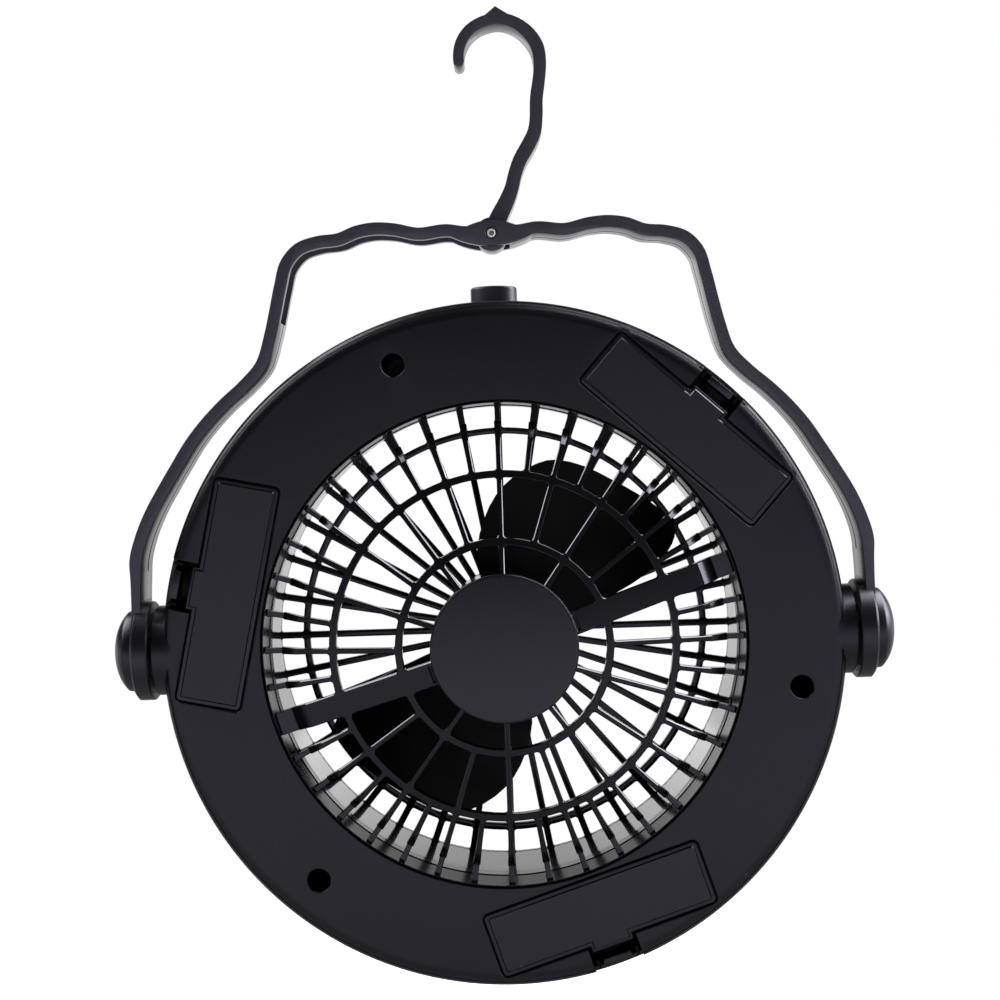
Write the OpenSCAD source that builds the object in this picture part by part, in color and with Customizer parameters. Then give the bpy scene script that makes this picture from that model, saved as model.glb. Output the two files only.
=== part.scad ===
// Round camping fan and ring light, carried by a swinging bail with a fold-away hook.
// The pieces are laid out lying on the front rim: fan axis on z, front rim at z = 0,
// rear face up, the bail pointing to +y. stand() turns the whole upright, rear face
// towards -Y, and puts the origin where a line or a branch sits in the hook.

/* [Case] */
// Width of the case's flat rim, from the duct to the outer edge
rim_w = 28.1; // [28.05:0.05:30]
// Depth of the case from front rim to rear face
case_t = 44; // [43.5:0.5:47]
// Thickness of the shell walls
wall = 2; // [1.8:0.1:2.2]
// Radius on the rear outer edge
rear_round = 4.5; // [3.5:0.5:5.5]
// Radius on the front outer edge
front_round = 5; // [4:0.5:5.5]
// How far the front rim draws in, on the radius
front_taper = 3.5; // [2.5:0.5:4]
// Height of the seam between the two shells
seam_h = 12; // [11.5:0.25:12.5]
// Depth that the shells overlap at the seam
seam_lip = 1.5; // [1:0.25:1.75]

/* [Air duct] */
// Bore of the air duct
duct_d = 133.9; // [132:0.1:134]
// Thickness of the duct walls
duct_wall = 2; // [1.6:0.1:2]
// Gap round the rear grille in the case opening
grille_gap = 0.3; // [0.2:0.05:0.4]

/* [Rear grille] */
// Depth of the grille's outer ring
ring_depth = 14; // [12:0.5:14.5]
// Rise of the grille for each millimetre towards the middle
grille_slope = 0.21; // [0.17:0.01:0.23]
// Number of bars at the rim
rim_bars = 40; // [40:4:44]
// Width of a bar
bar_w = 1.6; // [1.4:0.1:2]
// Depth of a bar
bar_h = 3; // [2.4:0.1:3.4]
// How far the bar ends drop at the rim
bar_drop = 2.2; // [1.5:0.1:2.6]
// Radial width of the bars' dropped ends
bar_end = 4.6; // [3.6:0.2:5]
// Width of the grille's two rings
hoop_w = 2.2; // [1.8:0.1:2.6]
// Diameter of the outer hoop, at its middle
outer_hoop_d = 94.1; // [88:0.1:98]
// Diameter of the inner hoop, at its middle
inner_hoop_d = 57.6; // [54:0.1:62]
// Width of the two broad spokes
spoke_w = 6.4; // [5.4:0.2:7]

/* [Front grille] */
// Number of bars
front_bars = 36; // [32:4:40]
// Width of a bar
front_bar_w = 1.9; // [1.5:0.1:2.2]
// Depth of a bar
front_bar_h = 2.2; // [1.6:0.1:2.2]
// Diameter of the hoop, at its middle
front_hoop_d = 118.6; // [112:0.1:122]
// Diameter of the middle boss
front_boss_d = 32; // [26:0.5:34]
// Width of the flange that seats in the case
flange_w = 3.6; // [3:0.1:3.8]
// Thickness of that flange
flange_t = 2.6; // [2.6:0.1:3]

/* [Motor] */
// Diameter of the motor
motor_d = 32; // [30:0.5:33]
// Length of the motor's steel can
motor_l = 16.5; // [14:0.5:17]
// Wall of the motor cup
cup_wall = 1.5; // [1.3:0.1:1.8]
// Gap between motor and cup
cup_gap = 2; // [1.8:0.1:2.2]
// Height of the cup floor above the front rim
cup_floor = 30; // [29.5:0.5:30.5]
// Diameter of the motor shaft
shaft_d = 2; // [1.6:0.1:2.4]
// Height of the motor cover's face above the rear face
cover_rise = 11.8; // [11.4:0.1:13]

/* [Rotor] */
// Diameter swept by the blades
rotor_d = 118; // [112:0.5:119]
// Diameter of the hub
hub_d = 22; // [20:0.5:26]
// Height of the hub's front end above the front rim
hub_z = 8; // [7:0.5:9]
// Thickness of a blade
blade_t = 1.6; // [1.4:0.1:2]
// Pitch of a blade
blade_pitch = 14; // [10:0.5:15]
// Radius of a blade's camber
blade_camber = 95; // [85:5:130]

/* [Ring light] */
// Inside diameter of the lens
lens_in_d = 146; // [145:0.5:148]
// Outside diameter of the lens
lens_out_d = 170; // [166:0.5:171]
// Thickness of the lens
lens_t = 1.8; // [1.4:0.1:2]
// Depth of the reflector
reflector_t = 5.8; // [5:0.1:6]
// Thickness of the lamp board
board_t = 1.6; // [1:0.1:1.6]
// Number of lamps
lamps = 18; // [12:2:20]

/* [Battery doors] */
// Length of a door
door_l = 62.3; // [60.5:0.1:62.5]
// Width of a door
door_w = 17.9; // [17.6:0.1:18.1]
// Thickness of a door
door_t = 1.7; // [1.5:0.1:1.8]
// Corner radius of a door
door_corner = 1.3; // [1:0.1:3]
// Gap round a door
door_gap = 0.4; // [0.25:0.05:0.45]
// Strip of case between the duct and a door
door_land = 1.8; // [1.6:0.1:2]
// Width of the latch
latch_w = 8.1; // [7:0.1:9]
// Width of the recess round the latch
recess_w = 14; // [12:0.5:14.5]
// Depth of that recess
recess_h = 10.8; // [10:0.1:12]
// How far the case's edge is cut down along the recess
rim_drop = 5.2; // [4.8:0.1:6]

/* [Cells] */
// Diameter of a cell
cell_d = 14.2; // [13.8:0.1:14.4]
// Length of a cell with its button end
cell_l = 50.5; // [49:0.1:50.5]
// Length of a battery spring when compressed
spring_l = 5.5; // [5:0.1:6]
// Wire of a battery spring
spring_wire = 0.7; // [0.5:0.1:0.9]

/* [Push button] */
// Diameter of the button
button_d = 13.3; // [12:0.1:13.6]
// How far the button stands out of the case
button_out = 5.3; // [4:0.1:6]
// Height of the button's axis above the front rim
button_z = 22; // [21.8:0.1:23]
// Travel of the button
button_travel = 2; // [1.5:0.1:2.2]

/* [Pivots] */
// Depth of the pivot axis below the rear face
pivot_depth = 13; // [12.8:0.1:14]
// Diameter of the bosses on the case
boss_d = 25.2; // [24:0.2:25.4]
// How far a boss stands out from the case
boss_out = 2.8; // [2.6:0.1:3.2]
// Diameter of the bail's end discs
disc_d = 27.8; // [27:0.2:29]
// Thickness of an end disc
disc_t = 5.9; // [5.6:0.1:6.4]
// Running gap between boss and disc
pivot_gap = 0.8; // [0.7:0.1:1]
// Diameter of the pivot screws
pivot_d = 6; // [5:0.1:6.4]
// Diameter of the pivot caps
cap_d = 22.6; // [22:0.2:23.4]
// Height of the pivot caps
cap_h = 5.3; // [5:0.1:6.4]

/* [Bail] */
// Thickness of the bail's band
band_t = 3.4; // [3:0.1:3.6]
// Width of the band, front to back
band_w = 16.2; // [14.6:0.2:17]
// Height of the hook pin above the case's edge
bail_rise = 19.05; // [18.3:0.05:22]
// Height of the bail's pin boss
pin_boss_h = 7.1; // [6.6:0.1:7.6]
// Width of the slot that the hook folds into
slot_w = 10.6; // [10.4:0.1:10.8]
// Height below the hook pin where the slot ends in the leg
slot_drop = 23.1; // [22:0.1:25]

/* [Hook] */
// Distance from the pin to the hook's seat
hook_reach = 58; // [57:0.1:60]
// Width of the hook, front to back
hook_w = 10; // [9.6:0.1:10]
// Diameter of the hook's eye
eye_d = 9.4; // [8.8:0.1:10]
// Diameter of the hook pin
pin_d = 2.5; // [2:0.1:3]

/* [Fasteners] */
// Distance from the duct to the middle of the case screws
screw_in = 15.95; // [15:0.05:16.5]
// Diameter of the case screws
screw_d = 3; // [2.6:0.1:3.4]
// Diameter of their heads
screw_head_d = 5.6; // [5:0.1:5.8]
// Diameter of the counterbores in the rear face
counterbore_d = 6.4; // [6.2:0.1:6.8]
// Depth of the counterbores
counterbore_h = 26; // [18:0.5:27]

/* [Hidden] */

// Colours
black = [0.14, 0.14, 0.16];
gloss_black = [0.09, 0.09, 0.1];
deep_black = [0.05, 0.05, 0.06];
steel = [0.72, 0.73, 0.75];
copper_tin = [0.8, 0.74, 0.5];
board_green = [0.1, 0.36, 0.2];
clear = [0.86, 0.9, 0.94];
cell_grey = [0.3, 0.32, 0.36];

// Small values shared by several pieces
cut = 1;                 // overrun of a cutting shape
seat = 0.05;             // play between flat faces that rest on each other
fit = 0.05;              // radial play of a turning fit
free = 0.3;              // gap between pieces that move past each other
step = 0.1;              // how far the hoops lie below the bars
round_fn = 96;           // facets that stand for a full circle

// Case and duct, on the radius
duct_r = duct_d / 2;
case_r = duct_r + rim_w;
opening_r = duct_r + grille_gap;
inner_wall_r = opening_r + duct_wall;
front_r = case_r - front_taper;
ring_base = case_t - ring_depth;
ring_flange_t = 1.3;
ring_wall = 1.1;
pivot_z = case_t - pivot_depth;
pin_h = case_r + bail_rise;
hang_y = pin_h + hook_reach;

// Rear grille
cup_r = motor_d / 2 + cup_gap + cup_wall;
cup_bore_r = cup_r - cup_wall;
cover_r = cup_r + 0.65;
cover_wall = 1.2;
cover_skirt = 2.5;
cover_chamfer = 0.8;
cup_top = cone_z(cup_r) + step;
cover_z = case_t + cover_rise;
spoke_every = 36;
spoke_at = 18;

// Motor
motor_floor_t = 1.6;
motor_z = cup_floor + motor_floor_t;
motor_nose_r = 3;
motor_nose_h = 1.2;
end_cap_t = 2.4;
motor_screw_r = 8;
motor_screw_d = 2;

// Rotor
hub_h = cup_floor - free - 1.5 - hub_z;
blade_mid_z = hub_z + hub_h / 2;
outline_d = 118;
blade_lift = 3;
nose_step = 1;
hub_wall = 1.8;
hub_core_r = 3.4;
hub_floor = 8;
shaft_in = 3;

// Ring light trough in the front shell
trough_gap = 0.15;
trough_in_r = lens_in_d / 2 - trough_gap;
trough_out_r = lens_out_d / 2 + trough_gap;
trough_wall = 1.8;
lens_z = 0.2;
board_z = lens_z + lens_t + reflector_t;
trough_floor = board_z + board_t;
trough_floor_t = 1.5;
trough_top = trough_floor + trough_floor_t;

// Battery bays
door_angles = [48, 168, 288];
door_x = duct_r + door_land;
door_mid = door_x + door_w / 2;
door_z = case_t - door_t;
bay_wall = 1.2;
cell_gap = 0.15;
bay_half_w = cell_d / 2 + cell_gap;
contact_t = 0.5;
contact_w = 10;
contact_h = 11;
spring_base_r = 4.6;
spring_tip_r = 2.8;
spring_turns = 3.5;
bay_l = cell_l + spring_l + 2 * contact_t;
cell_z = door_z - 0.5 - cell_d / 2;
bay_floor = cell_z - cell_d / 2 - 0.2;
tongue = 1.8;
latch_leg = 1.2;
latch_drop = 8.4;
latch_out = 2.5;         // from the case's edge to the latch's outer leg
latch_outer_leg = 1;
rim_wall = 1.2;
thumb_out = 1.4;         // from the case's edge to the thumb piece
thumb_down = 1.8;        // from the rear face to the thumb piece
thumb_t = 2.6;
tab_at = 20;
tab_w = 4;
tab_reach = 0.7;
tab_t = 1.2;

// Push button and switch
button_r = button_d / 2;
collar_w = 0.75;
collar_out = 0.6;
button_flange_r = button_r + 0.95;
button_flange_t = 1.4;
button_in_y = sqrt(pow(case_r - wall, 2) - pow(button_flange_r, 2)) - button_flange_t - free;
switch_l = 9.5;
switch_w = 11;
stem_w = 4;
stem_in = 3;
stem_down = 4;
switch_top_y = button_in_y - button_travel - free;

// Screws
screw_angles = [110, 230, 350];
screw_r = duct_r + screw_in;
tower_r = counterbore_d / 2 + 1.4;
post_top = trough_top + 5;
counterbore_z = case_t - counterbore_h;
screw_head_h = 2;

// Pivots
boss_x = case_r + boss_out;
disc_x = boss_x + pivot_gap;
disc_face_x = disc_x + disc_t;
pivot_r = pivot_d / 2;
washer_t = pivot_gap - free;
head_r = pivot_r + 3;
head_t = 2;
head_recess_x = disc_x + 2.4;
cap_wall = 1.5;
band_shift = 0.05;
boss_in_x = case_r - 5.9;
screw_end = 1.2;

// Outline of the bail's right half, down the middle of the band. The wavy grip is
// given across (x) and above the hook pin (y), the flank by its distance from the
// case and its angle, since it follows the case down to the leg.
bail_grip = [[0, 0.7], [7.6, 0.4], [12.5, 1.1], [20.6, 0.4], [27.4, 1.4], [33.1, 2.2],
    [37.6, 1.5], [42.6, -0.4], [48.8, -1.1], [53.9, -2.8], [57.1, -6.6], [59.3, -12.9]];
bail_flank = [[16.7, 56.9], [12.4, 54.4], [7.6, 50.4], [6.8, 46.3], [7.4, 42.2], [8, 38.2],
    [8.4, 34.1], [8.5, 30.1], [9, 25.9], [9.8, 21.9], [10.3, 17.8], [10.2, 14.1]];
leg_x = disc_x + disc_t / 2 - band_shift;
bail_half = concat([for (q = bail_grip) [q[0], pin_h + q[1]]],
    polar([for (q = bail_flank) [case_r + q[0], q[1]]]),
    [[leg_x + 0.8, 20.6], [leg_x, 15.5], [leg_x, 9], [leg_x, 0]]);

// Outline of the hook down its middle, from the eye, with its thickness there:
// across (x), above the pivot axis (y), thickness
hook_line = [[0, pin_h, 5.4], [2.4, pin_h + 5.1, 4.8], [4.7, pin_h + 9.5, 4.3],
    [6.1, pin_h + 12.9, 3.9], [7, pin_h + 16.3, 3.8], [8.6, pin_h + 20.5, 3.9],
    [11, pin_h + 24.5, 4], [12.9, pin_h + 28.3, 3.8], [13.6, pin_h + 32.9, 3.6],
    [13.8, hang_y - 20.1, 3.6], [14.7, hang_y - 14.6, 3.5], [15.1, hang_y - 10, 3.5],
    [14.5, hang_y - 5.9, 3.7], [12.2, hang_y - 2, 3.6], [8.5, hang_y + 1, 3.3],
    [4, hang_y + 2.4, 3.2], [-0.6, hang_y + 1.6, 3.1], [-4.3, hang_y - 0.5, 3.1],
    [-6.8, hang_y - 3.9, 3.1], [-7.7, hang_y - 8.2, 3], [-7.7, hang_y - 10.6, 3]];

// Outline of one blade, seen from the rear: radius (of a rotor of outline_d) and angle
blade_outline = [[16, 10.5], [30, 16.2], [40, 18.6], [47.5, 21], [53.5, 23.8], [57.6, 27],
    [59, 30.7], [58.2, 36.5], [56.2, 44.6], [54.6, 53.7], [54, 62.8], [52.9, 71.8], [50.6, 77.4],
    [46, 84.9], [40.5, 91.9], [34, 98.4], [26, 105.9], [16, 112.9]];
blade_mid = 60.7;
blade_reach = rotor_d / 2 + 4;

// Height of the rear grille's face at a radius
function cone_z(r) = case_t + (duct_r - r) * grille_slope;

// A smooth curve through points, each of any number of values
function curve_at(p0, p1, p2, p3, t) = (2 * p1 + (p2 - p0) * t
    + (2 * p0 - 5 * p1 + 4 * p2 - p3) * t * t + (3 * p1 - p0 - 3 * p2 + p3) * t * t * t) / 2;
function curve(p, steps) = let (n = len(p)) concat([for (i = [0 : n - 2], j = [0 : steps - 1])
    curve_at(p[max(i - 1, 0)], p[i], p[i + 1], p[min(i + 2, n - 1)], j / steps)], [p[n - 1]]);
function reversed(p) = [for (i = [len(p) - 1 : -1 : 0]) p[i]];

// One side of a strip that follows a line of [x, y, thickness]
function side(p, s) = let (n = len(p)) [for (i = [0 : n - 1])
    let (a = p[max(i - 1, 0)], b = p[min(i + 1, n - 1)], d = [b[0] - a[0], b[1] - a[1]])
    [p[i][0], p[i][1]] + [-d[1], d[0]] / norm(d) * s * p[i][2] / 2];
function arc(c, r, a, b, n) = [for (i = [0 : n]) c + r * [cos(a + (b - a) * i / n),
    sin(a + (b - a) * i / n)]];
function polar(p) = [for (q = p) q[0] * [cos(q[1]), sin(q[1])]];

module strip(line, steps) {
    mid = curve(line, steps);
    polygon(concat(side(mid, 1), reversed(side(mid, -1))));
}

// Lying on the front rim to upright, with the origin at the hook's seat
module stand() translate([0, pivot_z, -hang_y]) rotate([90, 0, 0]) children();

// A flat profile of radius and height, turned to an angle and given a width
module radial(angle, w) rotate([90, 0, angle]) linear_extrude(w, center = true) children();

module revolve() rotate_extrude($fn = round_fn) children();

module tube(r_in, r_out, z0, z1) translate([0, 0, z0]) difference() {
    cylinder(h = z1 - z0, r = r_out, $fn = round_fn);
    translate([0, 0, -cut]) cylinder(h = z1 - z0 + 2 * cut, r = r_in, $fn = round_fn);
}

module block(x0, x1, y0, y1, z0, z1) translate([x0, y0, z0]) cube([x1 - x0, y1 - y0, z1 - z0]);

// A round bar along x, from the right or the left pivot
module pivot_bar(x0, x1, r) translate([x0, 0, pivot_z]) rotate([0, 90, 0])
    cylinder(h = x1 - x0, r = r, $fn = 64);

module both_sides() {
    children();
    mirror([1, 0, 0]) children();
}

module at_doors() for (a = door_angles) rotate([0, 0, a]) children();
module at_screws() for (a = screw_angles) rotate([0, 0, a]) translate([screw_r, 0, 0]) children();

// Half section of the rear shell's outside, drawn in by d
module rear_section(d) {
    r = rear_round - d;
    top = case_t - d;
    out = case_r - d;
    translate([0, seam_h]) square([out, top - r - seam_h]);
    translate([0, seam_h]) square([out - r, top - seam_h]);
    translate([out - r, top - r]) circle(r, $fn = 48);
}

module rear_envelope() revolve() intersection() {
    rear_section(0);
    square([case_r + cut, case_t + cut]);
}

// Plan of a door, with a gap all round
module door_plan(gap) {
    r = door_corner + gap;
    half_l = door_l / 2 + gap;
    half_w = door_w / 2 + gap;
    translate([door_mid, 0]) {
        square([2 * half_w, 2 * (half_l - r)], center = true);
        square([2 * (half_w - r), 2 * half_l], center = true);
        for (x = [-1, 1], y = [-1, 1]) translate([x * (half_w - r), y * (half_l - r)])
            circle(r, $fn = 32);
    }
}

module rear_case() color(black) stand() {
    difference() {
        union() {
            intersection() {
                rear_envelope();
                union() {
                    revolve() difference() {
                        rear_section(0);
                        rear_section(wall);
                        square([opening_r, case_t + cut]);
                    }
                    tube(opening_r, inner_wall_r, ring_base + ring_flange_t + seat, case_t);
                    at_doors() bay_walls();
                    at_screws() translate([0, 0, post_top + seat])
                        cylinder(h = case_t - post_top - seat, r = tower_r, $fn = 32);
                }
            }
            button_collar();
            both_sides() pivot_bar(boss_in_x, boss_x, boss_d / 2);
        }
        translate([0, 0, -cut]) cylinder(h = case_t + 2 * cut, r = opening_r, $fn = round_fn);
        at_doors() bay_cuts();
        at_screws() screw_bore();
        button_bore();
        both_sides() pivot_bar(boss_in_x - cut, boss_x + cut, pivot_r + fit);
    }
}

// The box for one cell, the ledge under its door and the walls of the latch recess
module bay_walls() {
    half_l = bay_l / 2 + bay_wall;
    half_r = recess_w / 2 + bay_wall;
    block(door_mid - bay_half_w - bay_wall, door_mid + bay_half_w + bay_wall, -half_l, half_l,
        bay_floor - bay_wall, case_t);
    translate([0, 0, door_z - bay_wall - seat]) linear_extrude(case_t - door_z + bay_wall + seat)
        door_plan(door_gap + bay_wall);
    block(door_mid + bay_half_w, case_r, -half_r, half_r, case_t - recess_h - bay_wall, case_t);
}

module bay_cuts() {
    block(door_mid - bay_half_w, door_mid + bay_half_w, -bay_l / 2, bay_l / 2, bay_floor, case_t + cut);
    translate([0, 0, door_z - seat]) linear_extrude(case_t) door_plan(door_gap);
    intersection() {
        block(door_mid + bay_half_w + bay_wall, case_r, -recess_w / 2, recess_w / 2,
            case_t - recess_h, case_t + cut);
        cylinder(h = 2 * case_t, r = case_r - rim_wall, $fn = round_fn);
    }
    block(case_r - 2 * rim_wall, case_r + cut, -recess_w / 2, recess_w / 2, case_t - rim_drop,
        case_t + cut);
    for (s = [-1, 1]) block(door_x - tab_reach - door_gap, door_mid, s * tab_at - tab_w / 2 - free,
        s * tab_at + tab_w / 2 + free, door_z - tab_t - 1.6, door_z);
}

module screw_bore() {
    translate([0, 0, counterbore_z]) cylinder(h = case_t, r = counterbore_d / 2, $fn = 32);
    translate([0, 0, post_top - cut]) cylinder(h = case_t, r = screw_d / 2 + 0.2, $fn = 32);
}

module button_collar() translate([0, case_r - wall / 2, button_z]) rotate([-90, 0, 0])
    cylinder(h = wall / 2 + collar_out, r = button_r + free + collar_w, $fn = 48);

module button_bore() translate([0, case_r - 12, button_z]) rotate([-90, 0, 0])
    cylinder(h = 20, r = button_r + free, $fn = 48);

// Half section of the front shell's outside: a rounded rim that widens to the seam
function front_edge(d) = let (c = [front_r - front_round, front_round], r = front_round - d,
    p = [case_r - d, seam_h], v = p - c, a = atan2(v[1], v[0]) - acos(r / norm(v)))
    concat([[0, d]], arc(c, r, -90, a, 8), [p, [0, seam_h]]);

module front_case() color(gloss_black) stand() {
    revolve() {
        difference() {
            polygon(front_edge(0));
            polygon(front_edge(wall));
            square([trough_in_r - trough_wall, seam_h + cut]);
            translate([trough_in_r, -cut]) square([trough_out_r - trough_in_r, wall + 2 * cut]);
            translate([0, seam_h - cut]) square([case_r - wall - cut, 2 * cut]);
        }
        // seam lip
        translate([case_r - 2 * wall + 0.1, seam_h - 3]) square([wall - 0.2, 3 + seam_lip]);
        // light trough
        translate([trough_in_r - trough_wall, wall / 2]) square([trough_wall, trough_top - wall / 2]);
        translate([trough_out_r, wall / 2]) square([trough_wall, trough_top - wall / 2]);
        translate([trough_in_r - trough_wall, trough_floor])
            square([trough_out_r - trough_in_r + 2 * trough_wall, trough_floor_t]);
        // duct, with the seat for the front grille at its end
        translate([duct_r, flange_t]) square([duct_wall, ring_base - seat - flange_t]);
        translate([duct_r, flange_t]) square([trough_in_r - duct_r, wall]);
        translate([duct_r + flange_w + 0.1, 0]) square([trough_in_r - duct_r - flange_w - 0.1,
            flange_t + wall / 2]);
    }
    at_screws() difference() {
        translate([0, 0, trough_top - 0.5]) cylinder(h = post_top - trough_top + 0.5, r = tower_r,
            $fn = 32);
        translate([0, 0, trough_top + 0.5]) cylinder(h = post_top, r = screw_d / 2 + fit, $fn = 32);
    }
    // shelf and two cheeks that hold the switch
    half = switch_w / 2;
    y0 = switch_top_y - switch_l;
    block(-half - 1.7, half + 1.7, y0, switch_top_y - 1.5, trough_top - 0.5,
        button_z - half - seat);
    both_sides() block(half + seat, half + 1.7, y0, switch_top_y - 1.5, button_z - half - seat - 0.5,
        button_z + half / 2);
    block(-half - 1.7, half + 1.7, y0 - 1.5, y0 - seat, trough_top - 0.5, button_z + half / 2);
}

module grille_bar(angle, w, r_in) {
    end_r = duct_r - bar_end;
    root_r = duct_r - ring_wall / 2;
    radial(angle, w) polygon([[r_in, cone_z(r_in)], [end_r, cone_z(end_r)],
        [end_r + 1, cone_z(end_r) - bar_drop], [root_r, case_t - bar_drop],
        [root_r, case_t - bar_drop - bar_h - 1], [end_r - 2, cone_z(end_r - 2) - bar_h],
        [r_in, cone_z(r_in) - bar_h]]);
}

module hoop(d) {
    r0 = d / 2 - hoop_w / 2;
    r1 = d / 2 + hoop_w / 2;
    revolve() polygon([[r0, cone_z(r0) - step], [r1, cone_z(r1) - step],
        [r1, cone_z(r1) - bar_h + step], [r0, cone_z(r0) - bar_h + step]]);
}

module rear_grille() color(black) stand() difference() {
    union() {
        revolve() polygon([[duct_r - ring_wall, ring_base], [inner_wall_r - 0.2, ring_base],
            [inner_wall_r - 0.2, ring_base + ring_flange_t], [duct_r, ring_base + ring_flange_t],
            [duct_r, case_t - 0.3], [duct_r - ring_wall * 0.7, case_t - 0.3]]);
        for (k = [0 : rim_bars - 1]) {
            angle = k * 360 / rim_bars;
            to_cup = (k * 360 / rim_bars - spoke_at) % spoke_every == 0;
            r_in = to_cup ? cup_r - 0.5 : (k % 2 == 0 ? inner_hoop_d / 2 : outer_hoop_d / 2);
            broad = angle == spoke_at || angle == spoke_at + 180;
            grille_bar(angle, broad ? spoke_w : bar_w, r_in);
        }
        hoop(outer_hoop_d);
        hoop(inner_hoop_d);
        tube(cup_bore_r, cup_r, cup_floor, cup_top);
        translate([0, 0, cup_floor]) cylinder(h = motor_floor_t, r = cup_r - cup_wall / 2,
            $fn = round_fn);
    }
    translate([0, 0, cup_floor - cut]) cylinder(h = 10, r = motor_nose_r + 0.2, $fn = 32);
    for (s = [-1, 1]) translate([s * motor_screw_r, 0, cup_floor - cut])
        cylinder(h = 5, r = motor_screw_d / 2 + 0.1, $fn = 24);
}

module front_grille() color(gloss_black) stand() {
    z0 = 0.4;
    tube(duct_r, duct_r + flange_w, 0, flange_t - seat);
    tube(front_hoop_d / 2 - front_bar_w / 2, front_hoop_d / 2 + front_bar_w / 2, z0 + step,
        z0 + front_bar_h - step);
    translate([0, 0, z0 - 0.2]) cylinder(h = front_bar_h + 0.1, r = front_boss_d / 2,
        $fn = round_fn);
    for (k = [0 : front_bars - 1]) rotate([0, 0, k * 360 / front_bars])
        block(front_boss_d / 2 - 1, duct_r + 0.8, -front_bar_w / 2, front_bar_w / 2, z0,
            min(z0 + front_bar_h, 3.6));
}

module motor_cover() color(black) stand() {
    skirt_r = cup_bore_r - 0.1;
    revolve() polygon([[skirt_r - cover_wall, cup_top - cover_skirt], [skirt_r, cup_top - cover_skirt],
        [skirt_r, cup_top + seat], [cover_r, cup_top + seat], [cover_r, cover_z - cover_chamfer],
        [cover_r - cover_chamfer, cover_z], [0, cover_z], [0, cover_z - cover_wall],
        [skirt_r - cover_wall, cover_z - cover_wall]]);
}

module motor_can() color(steel) stand() difference() {
    union() {
        revolve() polygon([[0, motor_z], [motor_d / 2 - 0.8, motor_z], [motor_d / 2, motor_z + 0.8],
            [motor_d / 2, motor_z + motor_l], [0, motor_z + motor_l]]);
        translate([0, 0, motor_z - motor_nose_h]) cylinder(h = motor_nose_h + 0.1,
            r = motor_nose_r, $fn = 32);
    }
    translate([0, 0, motor_z - cut - motor_nose_h]) cylinder(h = motor_l, r = shaft_d / 2 + fit,
        $fn = 32);
    for (s = [-1, 1]) translate([s * motor_screw_r, 0, motor_z - cut])
        cylinder(h = 5, r = motor_screw_d / 2 + fit, $fn = 24);
}

module motor_end_cap() color(deep_black) stand() translate([0, 0, motor_z + motor_l]) difference() {
    cylinder(h = end_cap_t, r = motor_d / 2 - 1.2, $fn = round_fn);
    for (s = [-1, 1]) translate([s * 9 - 1.6, -0.5, 0.8]) cube([3.2, 1, end_cap_t]);
}

module motor_terminals() color(copper_tin) stand() for (s = [-1, 1])
    translate([s * 9 - 1.4, -0.4, motor_z + motor_l + 0.85]) difference() {
        cube([2.8, 0.8, 3.6]);
        translate([1.4, -cut, 2.6]) rotate([-90, 0, 0]) cylinder(h = 3, r = 0.6, $fn = 24);
    }

module motor_shaft() color(steel) stand() translate([0, 0, hub_z + shaft_in])
    cylinder(h = motor_z + motor_l / 2 - hub_z - shaft_in, r = shaft_d / 2, $fn = 32);

module motor_screws() color(steel) stand() for (s = [-1, 1])
    translate([s * motor_screw_r, 0, 0]) {
        translate([0, 0, cup_floor - 1]) cylinder(h = 1, r = 1.8, $fn = 24);
        translate([0, 0, cup_floor - 0.5]) cylinder(h = 5, r = motor_screw_d / 2, $fn = 24);
    }

// One blade: its outline cut from a curved, pitched sheet
module blade() intersection() {
    translate([0, 0, hub_z - blade_lift]) linear_extrude(hub_h + 2 * blade_lift)
        polygon(polar([for (q = curve(blade_outline, 2)) [q[0] * rotor_d / outline_d, q[1]]]));
    rotate([0, 0, blade_mid]) translate([0, 0, blade_mid_z]) rotate([blade_pitch, 0, 0])
        translate([0, 0, blade_lift - blade_camber]) rotate([0, 90, 0]) difference() {
            cylinder(h = blade_reach, r = blade_camber, $fn = round_fn);
            translate([0, 0, -cut]) cylinder(h = blade_reach + 2 * cut, r = blade_camber - blade_t,
                $fn = round_fn);
        }
}

module fan_rotor() color(deep_black) stand() difference() {
    union() {
        revolve() polygon([[0, hub_z], [hub_d / 2 - 3 * nose_step, hub_z],
            [hub_d / 2 - nose_step, hub_z + nose_step], [hub_d / 2, hub_z + 3 * nose_step],
            [hub_d / 2, hub_z + hub_h], [0, hub_z + hub_h]]);
        for (k = [0, 1]) rotate([0, 0, 180 * k]) difference() {
            blade();
            translate([0, 0, -cut]) cylinder(h = case_t, r = hub_d / 2 - nose_step, $fn = 48);
        }
    }
    translate([0, 0, hub_z + shaft_in - seat]) cylinder(h = hub_h, r = shaft_d / 2 + 0.02, $fn = 32);
    difference() {
        translate([0, 0, hub_z + hub_floor]) cylinder(h = hub_h, r = hub_d / 2 - hub_wall, $fn = 48);
        cylinder(h = case_t, r = hub_core_r, $fn = 32);
    }
}

module light_lens() color(clear) stand()
    tube(lens_in_d / 2, lens_out_d / 2, lens_z, lens_z + lens_t);

module light_reflector() color(steel) stand() difference() {
    z0 = lens_z + lens_t;
    tube(lens_in_d / 2, lens_out_d / 2, z0, z0 + reflector_t);
    at_lamps() translate([0, 0, z0 - 0.01]) cylinder(h = reflector_t + 0.02, r1 = 5.4, r2 = 2.6,
        $fn = 32);
}

module at_lamps() for (k = [0 : lamps - 1]) rotate([0, 0, (k + 0.5) * 360 / lamps])
    translate([(lens_in_d + lens_out_d) / 4, 0, 0]) children();

module lamp_board() color(board_green) stand()
    tube(lens_in_d / 2, lens_out_d / 2, board_z, board_z + board_t);

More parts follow.
